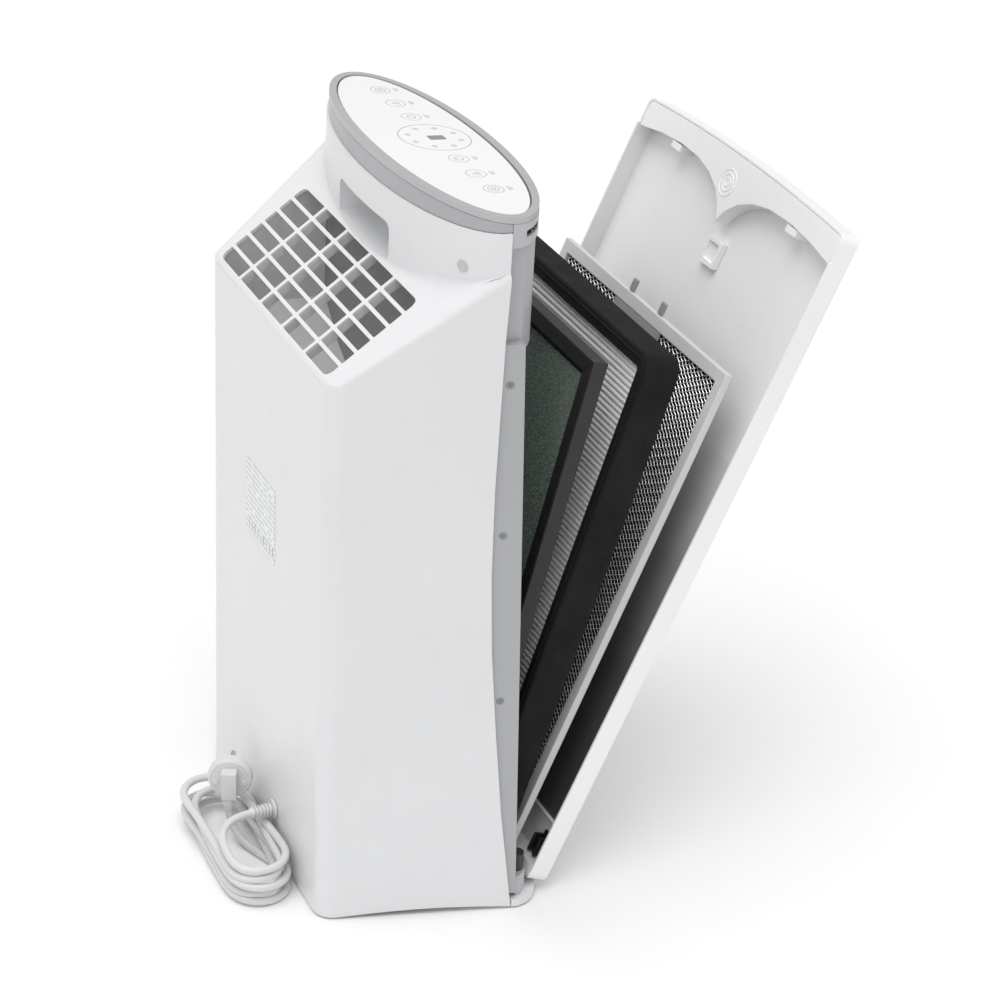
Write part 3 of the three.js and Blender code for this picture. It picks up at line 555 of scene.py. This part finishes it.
# ---------------------------------------------------------------- plain refinements
# node, material, body, slot, edge rounding in mm, sharpest angle left alone in degrees
PLAIN = [
    ("rear_shell", WHITE, "housing", "white_shell", 0.8, 30),
    ("front_chassis", CHASSIS, "housing", "pale_grey", 0.7, 30),
    ("trim_band", SILVER, "housing", "silver_band", 0.5, 35),
    ("head_front", PALE, "housing", "pale_grey", 0.5, 35),
    ("top_rim", RIM, "housing", "mid_grey", 1.0, 35),
    ("touch_panel", PANEL, "housing", "white_shell", 0.5, 35),
    ("display_window", GLASS, "housing", "dark_grey", 0.2, 35),
    ("head_deck", MID, "housing", "mid_grey", 0.4, 35),
    ("control_board", BOARD, "housing", "board", 0.2, 35),
    ("base_tray", WHITE, "housing", "white_shell", 2.4, 25),
    *(("foot_%d" % k, RUBBER, "housing", "rubber_feet", 0.4, 35) for k in range(1, 5)),
    ("stop_post_left", DARK, "housing", "dark_grey", 0.8, 35),
    ("stop_post_right", DARK, "housing", "dark_grey", 0.8, 35),
    ("inlet_guard", PALE, "housing", "pale_grey", 0.3, 35),
    ("impeller", DARK, "fan", "dark_grey", 0.25, 35),
    ("fan_shaft", STEEL, "fan", "steel", 0.3, 35),
    ("fan_motor", STEEL, "housing", "steel", 1.2, 35),
    ("power_board", BOARD, "housing", "board", 0.2, 35),
    ("ionizer", BLACK, "housing", "black_plastic", 0.6, 35),
    ("switch_body", BLACK, "housing", "black_plastic", 0.4, 35),
    ("switch_plunger", WHITE, "switch_pin", "white_shell", 0.4, 35),
    ("tray_step", PALE, "housing", "pale_grey", 1.0, 35),
    ("prefilter_frame", FILTER_GREY, "prefilter", "silver_band", 0.8, 35),
    ("prefilter_plate", PLATE, "prefilter", "mid_grey", 0.4, 35),
    ("prefilter_tab_left", PLATE, "prefilter", "mid_grey", 1.6, 35),
    ("prefilter_tab_right", PLATE, "prefilter", "mid_grey", 1.6, 35),
    ("hepa_gasket", FOAM, "hepa", "black_foam", 2.2, 30),
    ("carbon_frame", CARBON_FRAME, "carbon", "purple_grey", 0.6, 35),
    ("carbon_border", FOAM, "carbon", "black_foam", 0.5, 35),
    ("carbon_sheet", CARBON, "carbon", "carbon_sheet", 0.8, 35),
    ("cover_panel", COVER_WHITE, "cover", "white_shell", 0.8, 30),
    ("cover_crown", COVER_WHITE, "cover", "white_shell", 0.9, 40),
    ("cover_clip_left", COVER_WHITE, "cover", "white_shell", 0.4, 35),
    ("cover_clip_right", COVER_WHITE, "cover", "white_shell", 0.4, 35),
    ("cover_boss", COVER_WHITE, "cover", "white_shell", 0.5, 35),
]
# the shell's slope carries the grille, so its openings' triangles are left as they are
SLOPE = math.radians(35.3)
SLOPE_OUT = Vector((0, math.sin(SLOPE), math.cos(SLOPE)))
for node, mat, body, slot_name, bevel, angle in PLAIN:
    refine(node, mat, body, bevel, 2, angle,
           SLOPE_OUT if node == "rear_shell" else None)
# the fan's duct is left sharp and flat shaded
for node, mat, body, slot_name in (("scroll_housing", DUCT, "housing", "pale_grey"),
                                   ("inlet_plate", DUCT_DARK, "housing", "mid_grey")):
    from_bm(node_bm(node), "vis_" + node, mat, body, (node,), smooth=False)

# ---------------------------------------------------------------- shell details
SHOULDER_Z = 503.0
HEAD_Y = -2.0
NECK_A, NECK_B = 169.0, 58.0    # the oval neck's half width and half depth
FLARE = math.tan(math.radians(15))


def neck_x(y):
    """Half width of the oval neck at depth y."""
    return NECK_A * math.sqrt(1 - ((y - HEAD_Y) / NECK_B) ** 2)


def wall_x(y):
    """Half width between the flared side walls at depth y."""
    return 136 + (BACK_Y - y) * FLARE


GRILLE_HALF, GRILLE_S0, GRILLE_LEN = 121.0, 4.5, 91.0
COLS, ROWS, RIB_ALONG, RIB_ACROSS = 5, 6, 4.0, 3.2
RIB_DEPTH = 9.0


def grille_ribs():
    """Rounded inner ribs behind the bars of the exhaust grille."""
    slope_m = (Matrix.Translation(P(0, BACK_Y, SHOULDER_Z))
               @ Matrix(((-1, 0, 0, 0), (0, -math.cos(SLOPE), math.sin(SLOPE), 0),
                         (0, math.sin(SLOPE), math.cos(SLOPE), 0), (0, 0, 0, 1)))
               @ Matrix.Scale(MM, 4))
    bm = bmesh.new()
    pitch_x = (2 * GRILLE_HALF + RIB_ALONG) / COLS
    pitch_s = (GRILLE_LEN + RIB_ACROSS) / ROWS
    for i in range(1, COLS):
        x = -GRILLE_HALF + i * pitch_x - RIB_ALONG / 2
        box_into(bm, x - 1.5, x + 1.5, GRILLE_S0 - 1, GRILLE_S0 + GRILLE_LEN + 1,
                 -RIB_DEPTH, -2.0, slope_m)
    for j in range(1, ROWS):
        d = GRILLE_S0 + j * pitch_s - RIB_ACROSS / 2
        box_into(bm, -GRILLE_HALF - 1, GRILLE_HALF + 1, d - 1.1, d + 1.1,
                 -RIB_DEPTH + 0.6, -2.2, slope_m)
    bmesh.ops.recalc_face_normals(bm, faces=bm.faces)
    soften(from_bm(bm, "grille_ribs", WHITE, "housing"), 0.3)


FILLET_R = 15.0
FILLET_STEPS = 72
FILLET_FROM = 9                 # degrees round the neck where it starts, and stops short
FILLET_BACK = 0.16              # its radius at the neck's back, as a share of FILLET_R
FILLET_POWER = 1.3              # how fast it grows from there to the neck's sides
FILLET_ROOM = 0.3               # the share of the shoulder beside the neck it may take


def fillet_radius(i, angle, x, y):
    """Radius at step i, run out at both ends and kept off the shoulder's outer edge."""
    ends = min(1.0, math.sin(math.pi * i / FILLET_STEPS) * 3.0 + 0.04)
    fade = ends * (FILLET_BACK + (1 - FILLET_BACK) * abs(math.cos(angle)) ** FILLET_POWER)
    return min(FILLET_R * fade, FILLET_ROOM * (wall_x(y) - abs(x)))


def neck_fillet():
    """Soft fillet where the neck grows out of the shoulder."""
    bm = bmesh.new()
    slope_d = SLOPE_OUT.dot(Vector((0, BACK_Y, SHOULDER_Z)))
    rings = []
    for i in range(FILLET_STEPS + 1):
        a = math.radians(FILLET_FROM + (180 - 2 * FILLET_FROM) * i / FILLET_STEPS)
        x, y = NECK_A * math.cos(a), HEAD_Y + NECK_B * math.sin(a)
        foot = Vector((x, y, (slope_d - SLOPE_OUT.y * y) / SLOPE_OUT.z))
        out = Vector((math.cos(a) / NECK_A, math.sin(a) / NECK_B, 0)).normalized()
        r = fillet_radius(i, a, x, y)
        # the arc's centre lies at distance r from both surfaces, on their open side
        centre = foot + (out + SLOPE_OUT) * (r / (1 + out.dot(SLOPE_OUT)))
        ring = [bm.verts.new(P(*(centre + (-out).lerp(-SLOPE_OUT, q / 8).normalized() * r)))
                for q in range(9)]
        ring.append(bm.verts.new(P(*(foot - (out + SLOPE_OUT) * 0.6))))
        rings.append(ring)
    grid_faces(bm, rings)
    bm.faces.new(rings[0])
    bm.faces.new(list(reversed(rings[-1])))
    bmesh.ops.recalc_face_normals(bm, faces=bm.faces)
    from_bm(bm, "neck_fillet", WHITE, "housing")


CAP_Y, CAP_Z, CAP_R = 30.0, 592.0, 4.45
CAP_DEEP_X = 131.0
DIMPLE = [(0.4, -1.2), (5.0, -1.2), (5.0, 0.35), (4.6, 0.5), (4.2, 0.4), (3.4, 0.14),
          (0.4, 0.08)]


def neck_cap(side, s):
    """A plug that fills one of the neck's screw recesses flush, and its grey dimple."""
    bm = bmesh.new()
    rings = []
    for deep in (True, False):
        ring = []
        for k in range(32):
            a = 2 * math.pi * k / 32
            y, z = CAP_Y + CAP_R * math.cos(a), CAP_Z + CAP_R * math.sin(a)
            x = CAP_DEEP_X if deep else neck_x(y) - 0.1
            ring.append(bm.verts.new(P(s * x, y, z)))
        rings.append(ring)
    grid_faces(bm, rings)
    bm.faces.new(rings[0])
    bm.faces.new(list(reversed(rings[1])))
    bmesh.ops.recalc_face_normals(bm, faces=bm.faces)
    node = "neck_cap_" + side
    from_bm(bm, "vis_" + node, WHITE, "housing", (node,))
    x = neck_x(CAP_Y)
    way = Vector((s * x / NECK_A ** 2, (CAP_Y - HEAD_Y) / NECK_B ** 2, 0)).normalized()
    bm = bmesh.new()
    lathe(bm, DIMPLE, P(s * x, CAP_Y, CAP_Z), way, 32)
    bmesh.ops.recalc_face_normals(bm, faces=bm.faces)
    from_bm(bm, "cap_dimple_" + side, CAP, "housing")


def slot_shadow_backing(side, s):
    """Painted shadow in a latch slot under the band: black boxes that stand for the slot's dark
    inside.
    """
    bm = bmesh.new()
    box_into(bm, s * 150.5 - 2.5, s * 150.5 + 2.5, -23.0, -11.3, 619.7, 624.8, design_frame())
    box_into(bm, s * 151 - 3.5, s * 151 + 3.5, -20, -18.6, 619.6, 624.9, design_frame())
    soften(from_bm(bm, "latch_" + side, BLACK, "housing"), 0.3)


SIDES = (("left", -1), ("right", 1))
grille_ribs()
neck_fillet()
for side, s in SIDES:
    neck_cap(side, s)
for side, s in SIDES:
    slot_shadow_backing(side, s)

# ---------------------------------------------------------------- head print
TOP_Z = 637.5
TOP_TILT = math.radians(4.5)
head_m = (Matrix.Translation(P(0, HEAD_Y, TOP_Z)) @ Matrix.Rotation(TOP_TILT, 4, "X")
          @ Matrix.Scale(MM, 4))
PRINT_Z = -0.8
PRINT_IN, PRINT_OUT = 0.05, 0.06   # how far the print reaches into and out of the panel
RING_X, PANEL_Y = 8.0, -7.5        # the middle of the wheel, on the row of icons
KEY_FIRST, KEY_PITCH = 48, 33      # from the wheel to the first key, and between keys


def print_ring(bm, cx, cy, r, w, sides=48, a0=0.0, a1=360.0):
    """A thin printed ring or arc of mean radius r and width w."""
    full = a1 - a0 >= 359.9
    low, high = PRINT_Z - PRINT_IN, PRINT_Z + PRINT_OUT
    rings = []
    for i in range(sides if full else sides + 1):
        a = math.radians(a0 + (a1 - a0) * i / sides)
        rings.append([bm.verts.new(head_m @ Vector((cx + rr * math.cos(a),
                                                    cy + rr * math.sin(a), z)))
                      for rr, z in ((r - w / 2, low), (r + w / 2, low), (r + w / 2, high),
                                    (r - w / 2, high))])
    grid_faces(bm, rings, True, full)
    if not full:
        bm.faces.new(rings[0])
        bm.faces.new(list(reversed(rings[-1])))


def print_box(bm, x0, x1, y0, y1):
    """A thin printed oblong."""
    box_into(bm, x0, x1, y0, y1, PRINT_Z - PRINT_IN, PRINT_Z + PRINT_OUT, head_m)


def print_wheel(bm):
    """The middle dial: a large ring with eight dotted rings in it."""
    print_ring(bm, RING_X, PANEL_Y, 29.5, 0.8, 72)
    for k in range(8):
        a = math.radians(22.5 + 45 * k)
        cx, cy = RING_X + 21.5 * math.cos(a), PANEL_Y + 21.5 * math.sin(a)
        print_ring(bm, cx, cy, 2.2, 0.6, 16)
        print_box(bm, cx - 0.8, cx + 0.8, cy - 0.8, cy + 0.8)


def print_key(bm, cx, kind):
    """One touch key: its ring, a generic icon in it and two bars under it."""
    print_ring(bm, cx, PANEL_Y, 8.2, 0.6, 36)
    if kind == 0:
        print_ring(bm, cx, PANEL_Y, 3.6, 0.7, 24, 120, 420)
        print_box(bm, cx - 0.4, cx + 0.4, PANEL_Y + 0.8, PANEL_Y + 5)
    elif kind == 1:
        for t in range(3):
            w = 4.4 - 1.2 * t
            print_box(bm, cx - w, cx + w, PANEL_Y - 3 + 2.4 * t, PANEL_Y - 2.2 + 2.4 * t)
    else:
        print_ring(bm, cx, PANEL_Y, 4.6, 0.7, 24)
        print_ring(bm, cx, PANEL_Y, 1.8, 0.7, 16)
    for t in range(2):
        print_box(bm, cx - 4 + 1.4 * t, cx + 4 - 1.4 * t,
                  PANEL_Y - 13.4 - 2.2 * t, PANEL_Y - 12.4 - 2.2 * t)


bm = bmesh.new()
print_wheel(bm)
for s in (-1, 1):
    for kind in range(3):
        print_key(bm, RING_X + s * (KEY_FIRST + KEY_PITCH * kind), kind)
bmesh.ops.recalc_face_normals(bm, faces=bm.faces)
from_bm(bm, "panel_print", PRINT, "housing", smooth=False)

# ---------------------------------------------------------------- label
LABEL_BACK = (0.84, 0.85, 0.855)
LABEL_INK = (0.62, 0.63, 0.64)


def label_material():
    """A pale sticker with rows of grey blocks 5 mm apart that spell nothing."""
    n = Nodes("label_sticker")
    split = n.new("ShaderNodeSeparateXYZ")
    n.link(n.coord, split.inputs["Vector"])
    stripe = n.new("ShaderNodeMath", operation="FRACT")
    scaled = n.new("ShaderNodeMath", operation="MULTIPLY")
    scaled.inputs[1].default_value = 1000.0 / 5.0
    n.link(split.outputs["Z"], scaled.inputs[0])
    n.link(scaled.outputs[0], stripe.inputs[0])
    bars = n.ramp(stripe.outputs[0], [(0.0, LABEL_INK), (0.46, LABEL_INK), (0.5, LABEL_BACK)])
    blocky = n.new("ShaderNodeTexVoronoi", distance="CHEBYCHEV")
    blocky.inputs["Scale"].default_value = 160.0
    n.link(n.coord, blocky.inputs["Vector"])
    gap = n.ramp(blocky.outputs["Distance"], [(0.52, (0.0, 0.0, 0.0)), (0.56, (1.0, 1.0, 1.0))])
    n.link(n.mix(gap, bars, LABEL_BACK), n.bsdf.inputs["Base Color"])
    n.link(n.span(n.noise(40.0), 0.25, 0.4), n.bsdf.inputs["Roughness"])
    n.link(n.bump(n.noise(300.0), 0.05, 0.0001), n.bsdf.inputs["Normal"])
    return n.mat


refine("rating_label", label_material(), "housing", 0.1, 1)
bm = bmesh.new()
for k in range(9):
    w = 1.2 if k % 3 else 2.4
    x = -20 + k * 7.0
    box_into(bm, x, x + w, BACK_Y + 0.34, BACK_Y + 0.4, 293, 301, design_frame())
bmesh.ops.recalc_face_normals(bm, faces=bm.faces)
from_bm(bm, "label_bars", PRINT, "housing", smooth=False)

# ---------------------------------------------------------------- filters
PRE = tilted(-30, 24, 22.1)
HEPA = tilted(-9, 35, 16.8)
CARB = tilted(17.6, 32, 13)
FILTER_LEN = 477.0
PRE_HALF, HEPA_HALF, CARBON_HALF = 149.0, 155.0, 151.0
PRE_RIM = 11.2                  # from the prefilter frame's edge to its opening
OPEN_HALF = PRE_HALF - PRE_RIM
OPEN_LEN = FILTER_LEN - 22.4
DIAMOND_W, DIAMOND_H = 7.4, 4.4


def expanded_mesh():
    """Expanded metal: rows of diamonds with a thin strand along every side."""
    cols, rows = int(2 * OPEN_HALF / DIAMOND_W), int(OPEN_LEN / DIAMOND_H)
    wide, high = 2 * OPEN_HALF / cols, OPEN_LEN / rows
    bm = bmesh.new()
    made = {}

    def knot(i, j):
        """The vertex at half steps i and j of the diamonds, made once."""
        if (i, j) not in made:
            dy = 0.35 if (i + j) % 4 < 2 else -0.35
            made[i, j] = bm.verts.new((-OPEN_HALF + i * wide / 2, dy, PRE_RIM + j * high / 2))
        return made[i, j]

    for j in range(1, 2 * rows):
        for i in range(1, 2 * cols):
            if (i + j) % 2:
                bm.faces.new((knot(i - 1, j), knot(i, j - 1), knot(i + 1, j), knot(i, j + 1)))
    bmesh.ops.transform(bm, matrix=PRE, verts=bm.verts)
    obj = from_bm(bm, "expanded_mesh", ALU, "prefilter", ("prefilter_mesh",),
                  smooth=False)
    wire = obj.modifiers.new("strands", "WIREFRAME")
    wire.thickness = 0.8 * MM
    wire.use_even_offset = False
    wire.use_boundary = True


def prefilter_net():
    """Dark net behind the expanded metal, in twelve strips joined up."""
    bm = bmesh.new()
    for k in range(12):
        z0 = 11.4 + (FILTER_LEN - 22.8) * k / 12
        z1 = 11.4 + (FILTER_LEN - 22.8) * (k + 1) / 12
        box_into(bm, -OPEN_HALF, OPEN_HALF, -2.4, -1.7, z0, z1, PRE)
    bmesh.ops.remove_doubles(bm, verts=bm.verts, dist=1e-6)
    from_bm(bm, "prefilter_net", FOAM, "prefilter", smooth=False)


PACK_HALF = HEPA_HALF - 14.4
PACK_LOW, PACK_HIGH = 14.6, FILTER_LEN - 14.6
FOLDS, FOLD_POINTS = 96, 13
FOLD_OUT, FOLD_IN = 12.6, 10.9


def pleats(side, s, nodes=()):
    """One face of the pleated pack: a paper skin of fine, slightly uneven folds."""
    outer, inner = s * FOLD_OUT, s * FOLD_IN
    flank = outer * 0.82 + inner * 0.18
    bm = bmesh.new()
    lines = []
    for i in range(4 * FOLDS + 1):
        z = PACK_LOW + (PACK_HIGH - PACK_LOW) * i / (4 * FOLDS)
        y = (outer, flank, inner, flank)[i % 4]
        line = []
        for k in range(FOLD_POINTS):
            x = -PACK_HALF + 2 * PACK_HALF * k / (FOLD_POINTS - 1)
            wave = noise.noise(Vector((x * 0.03, i * 0.11, 0))) * 0.35
            line.append(bm.verts.new((x, y + wave, z + wave * 0.6)))
        lines.append(line)
    grid_faces(bm, lines, False)
    bmesh.ops.transform(bm, matrix=HEPA, verts=bm.verts)
    obj = from_bm(bm, "pleats_" + side, PLEAT, "hepa", nodes)
    thick = obj.modifiers.new("paper", "SOLIDIFY")
    thick.thickness = 0.5 * MM
    thick.offset = 0.0


expanded_mesh()
prefilter_net()
pleats("rear", 1, ("hepa_pleats",))
pleats("front", -1)


def round_outline(half, length, r):
    """Points round an oblong with corners of radius r, from its upper right corner."""
    pts = []
    for cx, cz, a0 in ((half - r, length - r, 0), (-half + r, length - r, 90),
                       (-half + r, r, 180), (half - r, r, 270)):
        for k in range(7):
            a = math.radians(a0 + 15 * k)
            pts.append((cx + r * math.cos(a), cz + r * math.sin(a)))
    return pts


BEAD_IN, BEAD_Y, BEAD_R, BEAD_CORNER = 5.5, 16.2, 1.3, 8.0


def gasket_bead(side, s):
    """The raised bead that runs round one face of the gasket."""
    matrix = HEPA @ Matrix.Translation((0, 0, BEAD_IN))
    pts = round_outline(HEPA_HALF - BEAD_IN, FILTER_LEN - 2 * BEAD_IN, BEAD_CORNER)
    bm = bmesh.new()
    rings = []
    for i, (x, z) in enumerate(pts):
        before, after = pts[i - 1], pts[(i + 1) % len(pts)]
        t = Vector((after[0] - before[0], after[1] - before[1])).normalized()
        ring = []
        for k in range(10):
            a = 2 * math.pi * k / 10
            ring.append(bm.verts.new(matrix @ Vector((x + t.y * BEAD_R * math.cos(a),
                                                      s * BEAD_Y + BEAD_R * math.sin(a),
                                                      z - t.x * BEAD_R * math.cos(a)))))
        rings.append(ring)
    grid_faces(bm, rings, True, True)
    bmesh.ops.recalc_face_normals(bm, faces=bm.faces)
    from_bm(bm, "gasket_bead_" + side, FOAM, "hepa")


CARBON_Y = 6.75                 # half the carbon filter's thickness
STRIP_IN, STRIP_OUT, STRIP_THICK = 12.2, 1.2, 0.35
MITRE_GAP = 0.15


def carbon_strip(bm, k, y):
    """Side k of the black band round a face of the carbon filter, with mitred ends."""
    corners = []
    for r in (STRIP_OUT, STRIP_IN):
        ring = [(-CARBON_HALF + r, r), (CARBON_HALF - r, r),
                (CARBON_HALF - r, FILTER_LEN - r), (-CARBON_HALF + r, FILTER_LEN - r)]
        corners.append((Vector(ring[k]), Vector(ring[(k + 1) % 4])))
    (outer_a, outer_b), (inner_a, inner_b) = corners
    along = (outer_b - outer_a).normalized() * MITRE_GAP
    quad = [outer_a + along, outer_b - along, inner_b - along, inner_a + along]
    low = [bm.verts.new(CARB @ Vector((q.x, y, q.y))) for q in quad]
    high = [bm.verts.new(CARB @ Vector((q.x, y + STRIP_THICK, q.y))) for q in quad]
    bm.faces.new(low)
    bm.faces.new(list(reversed(high)))
    for j in range(4):
        bm.faces.new((low[j], high[j], high[(j + 1) % 4], low[(j + 1) % 4]))


gasket_bead("rear", 1)
gasket_bead("front", -1)
bm = bmesh.new()
for y in (CARBON_Y, -CARBON_Y - STRIP_THICK):
    for k in range(4):
        carbon_strip(bm, k, y)
bmesh.ops.recalc_face_normals(bm, faces=bm.faces)
soften(from_bm(bm, "carbon_face", BLACK, "carbon", smooth=False), 0.12)

# ---------------------------------------------------------------- cover details
COV = tilted(-44.5, 14.5, 23.2)
COVER_FLOOR = -20.6 + 2.4
COVER_HALF = 165.4              # half width between the cover's side flanges
CROWN_Y = -2.5
EMBLEM_X, EMBLEM_Z = 7, 600


def cover_ring(bm, r, w):
    """A thin raised ring of radius r on the cover's crown."""
    rings = []
    for i in range(40):
        a = 2 * math.pi * i / 40
        ring = []
        for k in range(8):
            b = 2 * math.pi * k / 8
            rr = r + w * math.cos(b)
            ring.append(bm.verts.new(COV @ Vector((EMBLEM_X + rr * math.cos(a),
                                                   CROWN_Y + w * math.sin(b),
                                                   EMBLEM_Z + rr * math.sin(a)))))
        rings.append(ring)
    grid_faces(bm, rings, True, True)


bm = bmesh.new()
for r in (4.0, 8.5, 13.0):
    cover_ring(bm, r * 0.9, 0.55)
bmesh.ops.recalc_face_normals(bm, faces=bm.faces)
from_bm(bm, "cover_rings", COVER_WHITE, "cover")


def painted_shade_material():
    """Painted shade on the cover's inner face low down: near black at the foot, white by 395 mm up.
    """
    n = Nodes("cover_painted_shade")
    split = n.new("ShaderNodeSeparateXYZ")
    n.link(n.coord, split.inputs["Vector"])
    drift = n.new("ShaderNodeMath", operation="ADD")
    n.link(split.outputs["Z"], drift.inputs[0])
    n.link(n.span(n.noise(30.0, 4.0), -0.006, 0.006), drift.inputs[1])
    height = n.span(drift.outputs[0], 0.0, 1.0, 0.10, 0.395)
    # painted shade: the ramp darkens the cover's inner face towards its foot, where the filters
    # shade it
    tone = n.ramp(height, [(0.0, (0.085, 0.080, 0.082)), (0.30, (0.120, 0.113, 0.116)),
                           (0.62, (0.36, 0.355, 0.36)), (1.0, (0.93, 0.935, 0.94))])
    n.link(tone, n.bsdf.inputs["Base Color"])
    n.link(n.span(n.noise(28.0, 5.0), 0.33, 0.45), n.bsdf.inputs["Roughness"])
    n.link(n.bump(n.noise(700.0), 0.12, 0.00012), n.bsdf.inputs["Normal"])
    return n.mat


SKIN_LOW, SKIN_HIGH = 51.2, 420
SKIN_STEPS, SKIN_FLAT = 40, 36


def painted_shade_skin():
    """A thin skin on the cover's inner face that carries painted shade; its upper end sinks into
    the panel.
    """
    bm = bmesh.new()
    rings = []
    for i in range(SKIN_STEPS + 1):
        z = SKIN_LOW + (SKIN_HIGH - SKIN_LOW) * i / SKIN_STEPS
        top = COVER_FLOOR + 0.25 - 0.1 * max(0, i - SKIN_FLAT)
        rings.append([bm.verts.new(COV @ Vector((x, y, z))) for x, y in
                      ((-COVER_HALF, COVER_FLOOR - 0.3), (COVER_HALF, COVER_FLOOR - 0.3),
                       (COVER_HALF, top), (-COVER_HALF, top))])
    grid_faces(bm, rings)
    bm.faces.new(list(reversed(rings[0])))
    bm.faces.new(rings[-1])
    bmesh.ops.recalc_face_normals(bm, faces=bm.faces)
    from_bm(bm, "cover_painted_shade_skin", painted_shade_material(), "cover")


def cover_rib():
    """Low stiffening rib across the cover's foot."""
    bm = bmesh.new()
    box_into(bm, -COVER_HALF, COVER_HALF, COVER_FLOOR - 0.2, COVER_FLOOR + 3.2, 49.0, 50.8, COV)
    soften(from_bm(bm, "cover_rib", COVER_WHITE, "cover"), 0.5)


def cover_bracket(side, s):
    """A black bracket in the cover's foot: a plate with two upright ears."""
    x = s * 146
    bm = bmesh.new()
    box_into(bm, x - 6, x + 6, COVER_FLOOR, COVER_FLOOR + 2.6, 17, 40, COV)
    box_into(bm, x - 6, x - 3, COVER_FLOOR, COVER_FLOOR + 12, 18, 36, COV)
    box_into(bm, x + 3, x + 6, COVER_FLOOR, COVER_FLOOR + 12, 18, 36, COV)
    soften(from_bm(bm, "cover_bracket_" + side, BLACK, "cover"), 0.9)


painted_shade_skin()
cover_rib()
for side, s in SIDES:
    cover_bracket(side, s)

# ---------------------------------------------------------------- chassis screws
SCREWS = ((-8.3, 211), (-3.0, 367), (-2.0, 500))
SCREW_SINK = 3.2                # the chassis flank lies this far inside the wall's outside
SCREW_HEAD = [(0.3, -0.6), (3.4, -0.6), (3.4, 0.1), (2.9, 0.35), (1.4, 0.35), (1.2, 0.0),
              (0.3, 0.0)]


def flank_screws(side, s):
    """Three screw heads down one flank of the chassis."""
    bm = bmesh.new()
    for y, z in SCREWS:
        x = wall_x(y) - SCREW_SINK * math.hypot(1, FLARE)
        lathe(bm, SCREW_HEAD, P(s * x, y, z), (s, FLARE, 0), 20)
    from_bm(bm, "flank_screws_" + side, MID, "housing")


for side, s in SIDES:
    flank_screws(side, s)

# ---------------------------------------------------------------- floor and light
FLOOR_HALF = 6.0
bm = bmesh.new()
bm.faces.new([bm.verts.new((i * FLOOR_HALF, j * FLOOR_HALF, 0))
              for i, j in ((-1, -1), (1, -1), (1, 1), (-1, 1))])
floor_mesh = bpy.data.meshes.new("floor")
bm.to_mesh(floor_mesh)
bm.free()
floor = bpy.data.objects.new("floor", floor_mesh)
bpy.context.scene.collection.objects.link(floor)
n = Nodes("floor_white")
n.link(n.ramp(n.noise(2.0), [(0.3, (0.90, 0.90, 0.90)), (0.7, (0.92, 0.92, 0.92))]),
       n.bsdf.inputs["Base Color"])
n.bsdf.inputs["Roughness"].default_value = 0.9
n.bsdf.inputs["Specular IOR Level"].default_value = 0.1
floor_mesh.materials.append(n.mat)


def aimed(name, data, way):
    """Puts a light in the scene that shines along way."""
    obj = bpy.data.objects.new(name, data)
    obj.rotation_mode = "QUATERNION"
    obj.rotation_quaternion = Vector(way).to_track_quat("-Z", "Y")
    bpy.context.scene.collection.objects.link(obj)
    return obj


def area_light(name, at, aim, size, watts):
    """A square lamp at one point, turned to another."""
    data = bpy.data.lights.new(name, "AREA")
    data.energy = watts
    data.size = size
    aimed(name, data, Vector(aim) - Vector(at)).location = at


area_light("key", (-2.2, 2.6, 2.4), (0, 0, 0.3), 1.8, 7)
sky = bpy.data.lights.new("overhead", "SUN")
sky.energy = 1.75
sky.angle = math.radians(50)
aimed("overhead", sky, (0.10, -0.16, -1.0))
world = bpy.data.worlds.new("studio")
world.use_nodes = True
world.node_tree.nodes["Background"].inputs["Color"].default_value = (1, 1, 1, 1)
world.node_tree.nodes["Background"].inputs["Strength"].default_value = 0.58
bpy.context.scene.world = world
bpy.context.scene.view_settings.view_transform = "Standard"
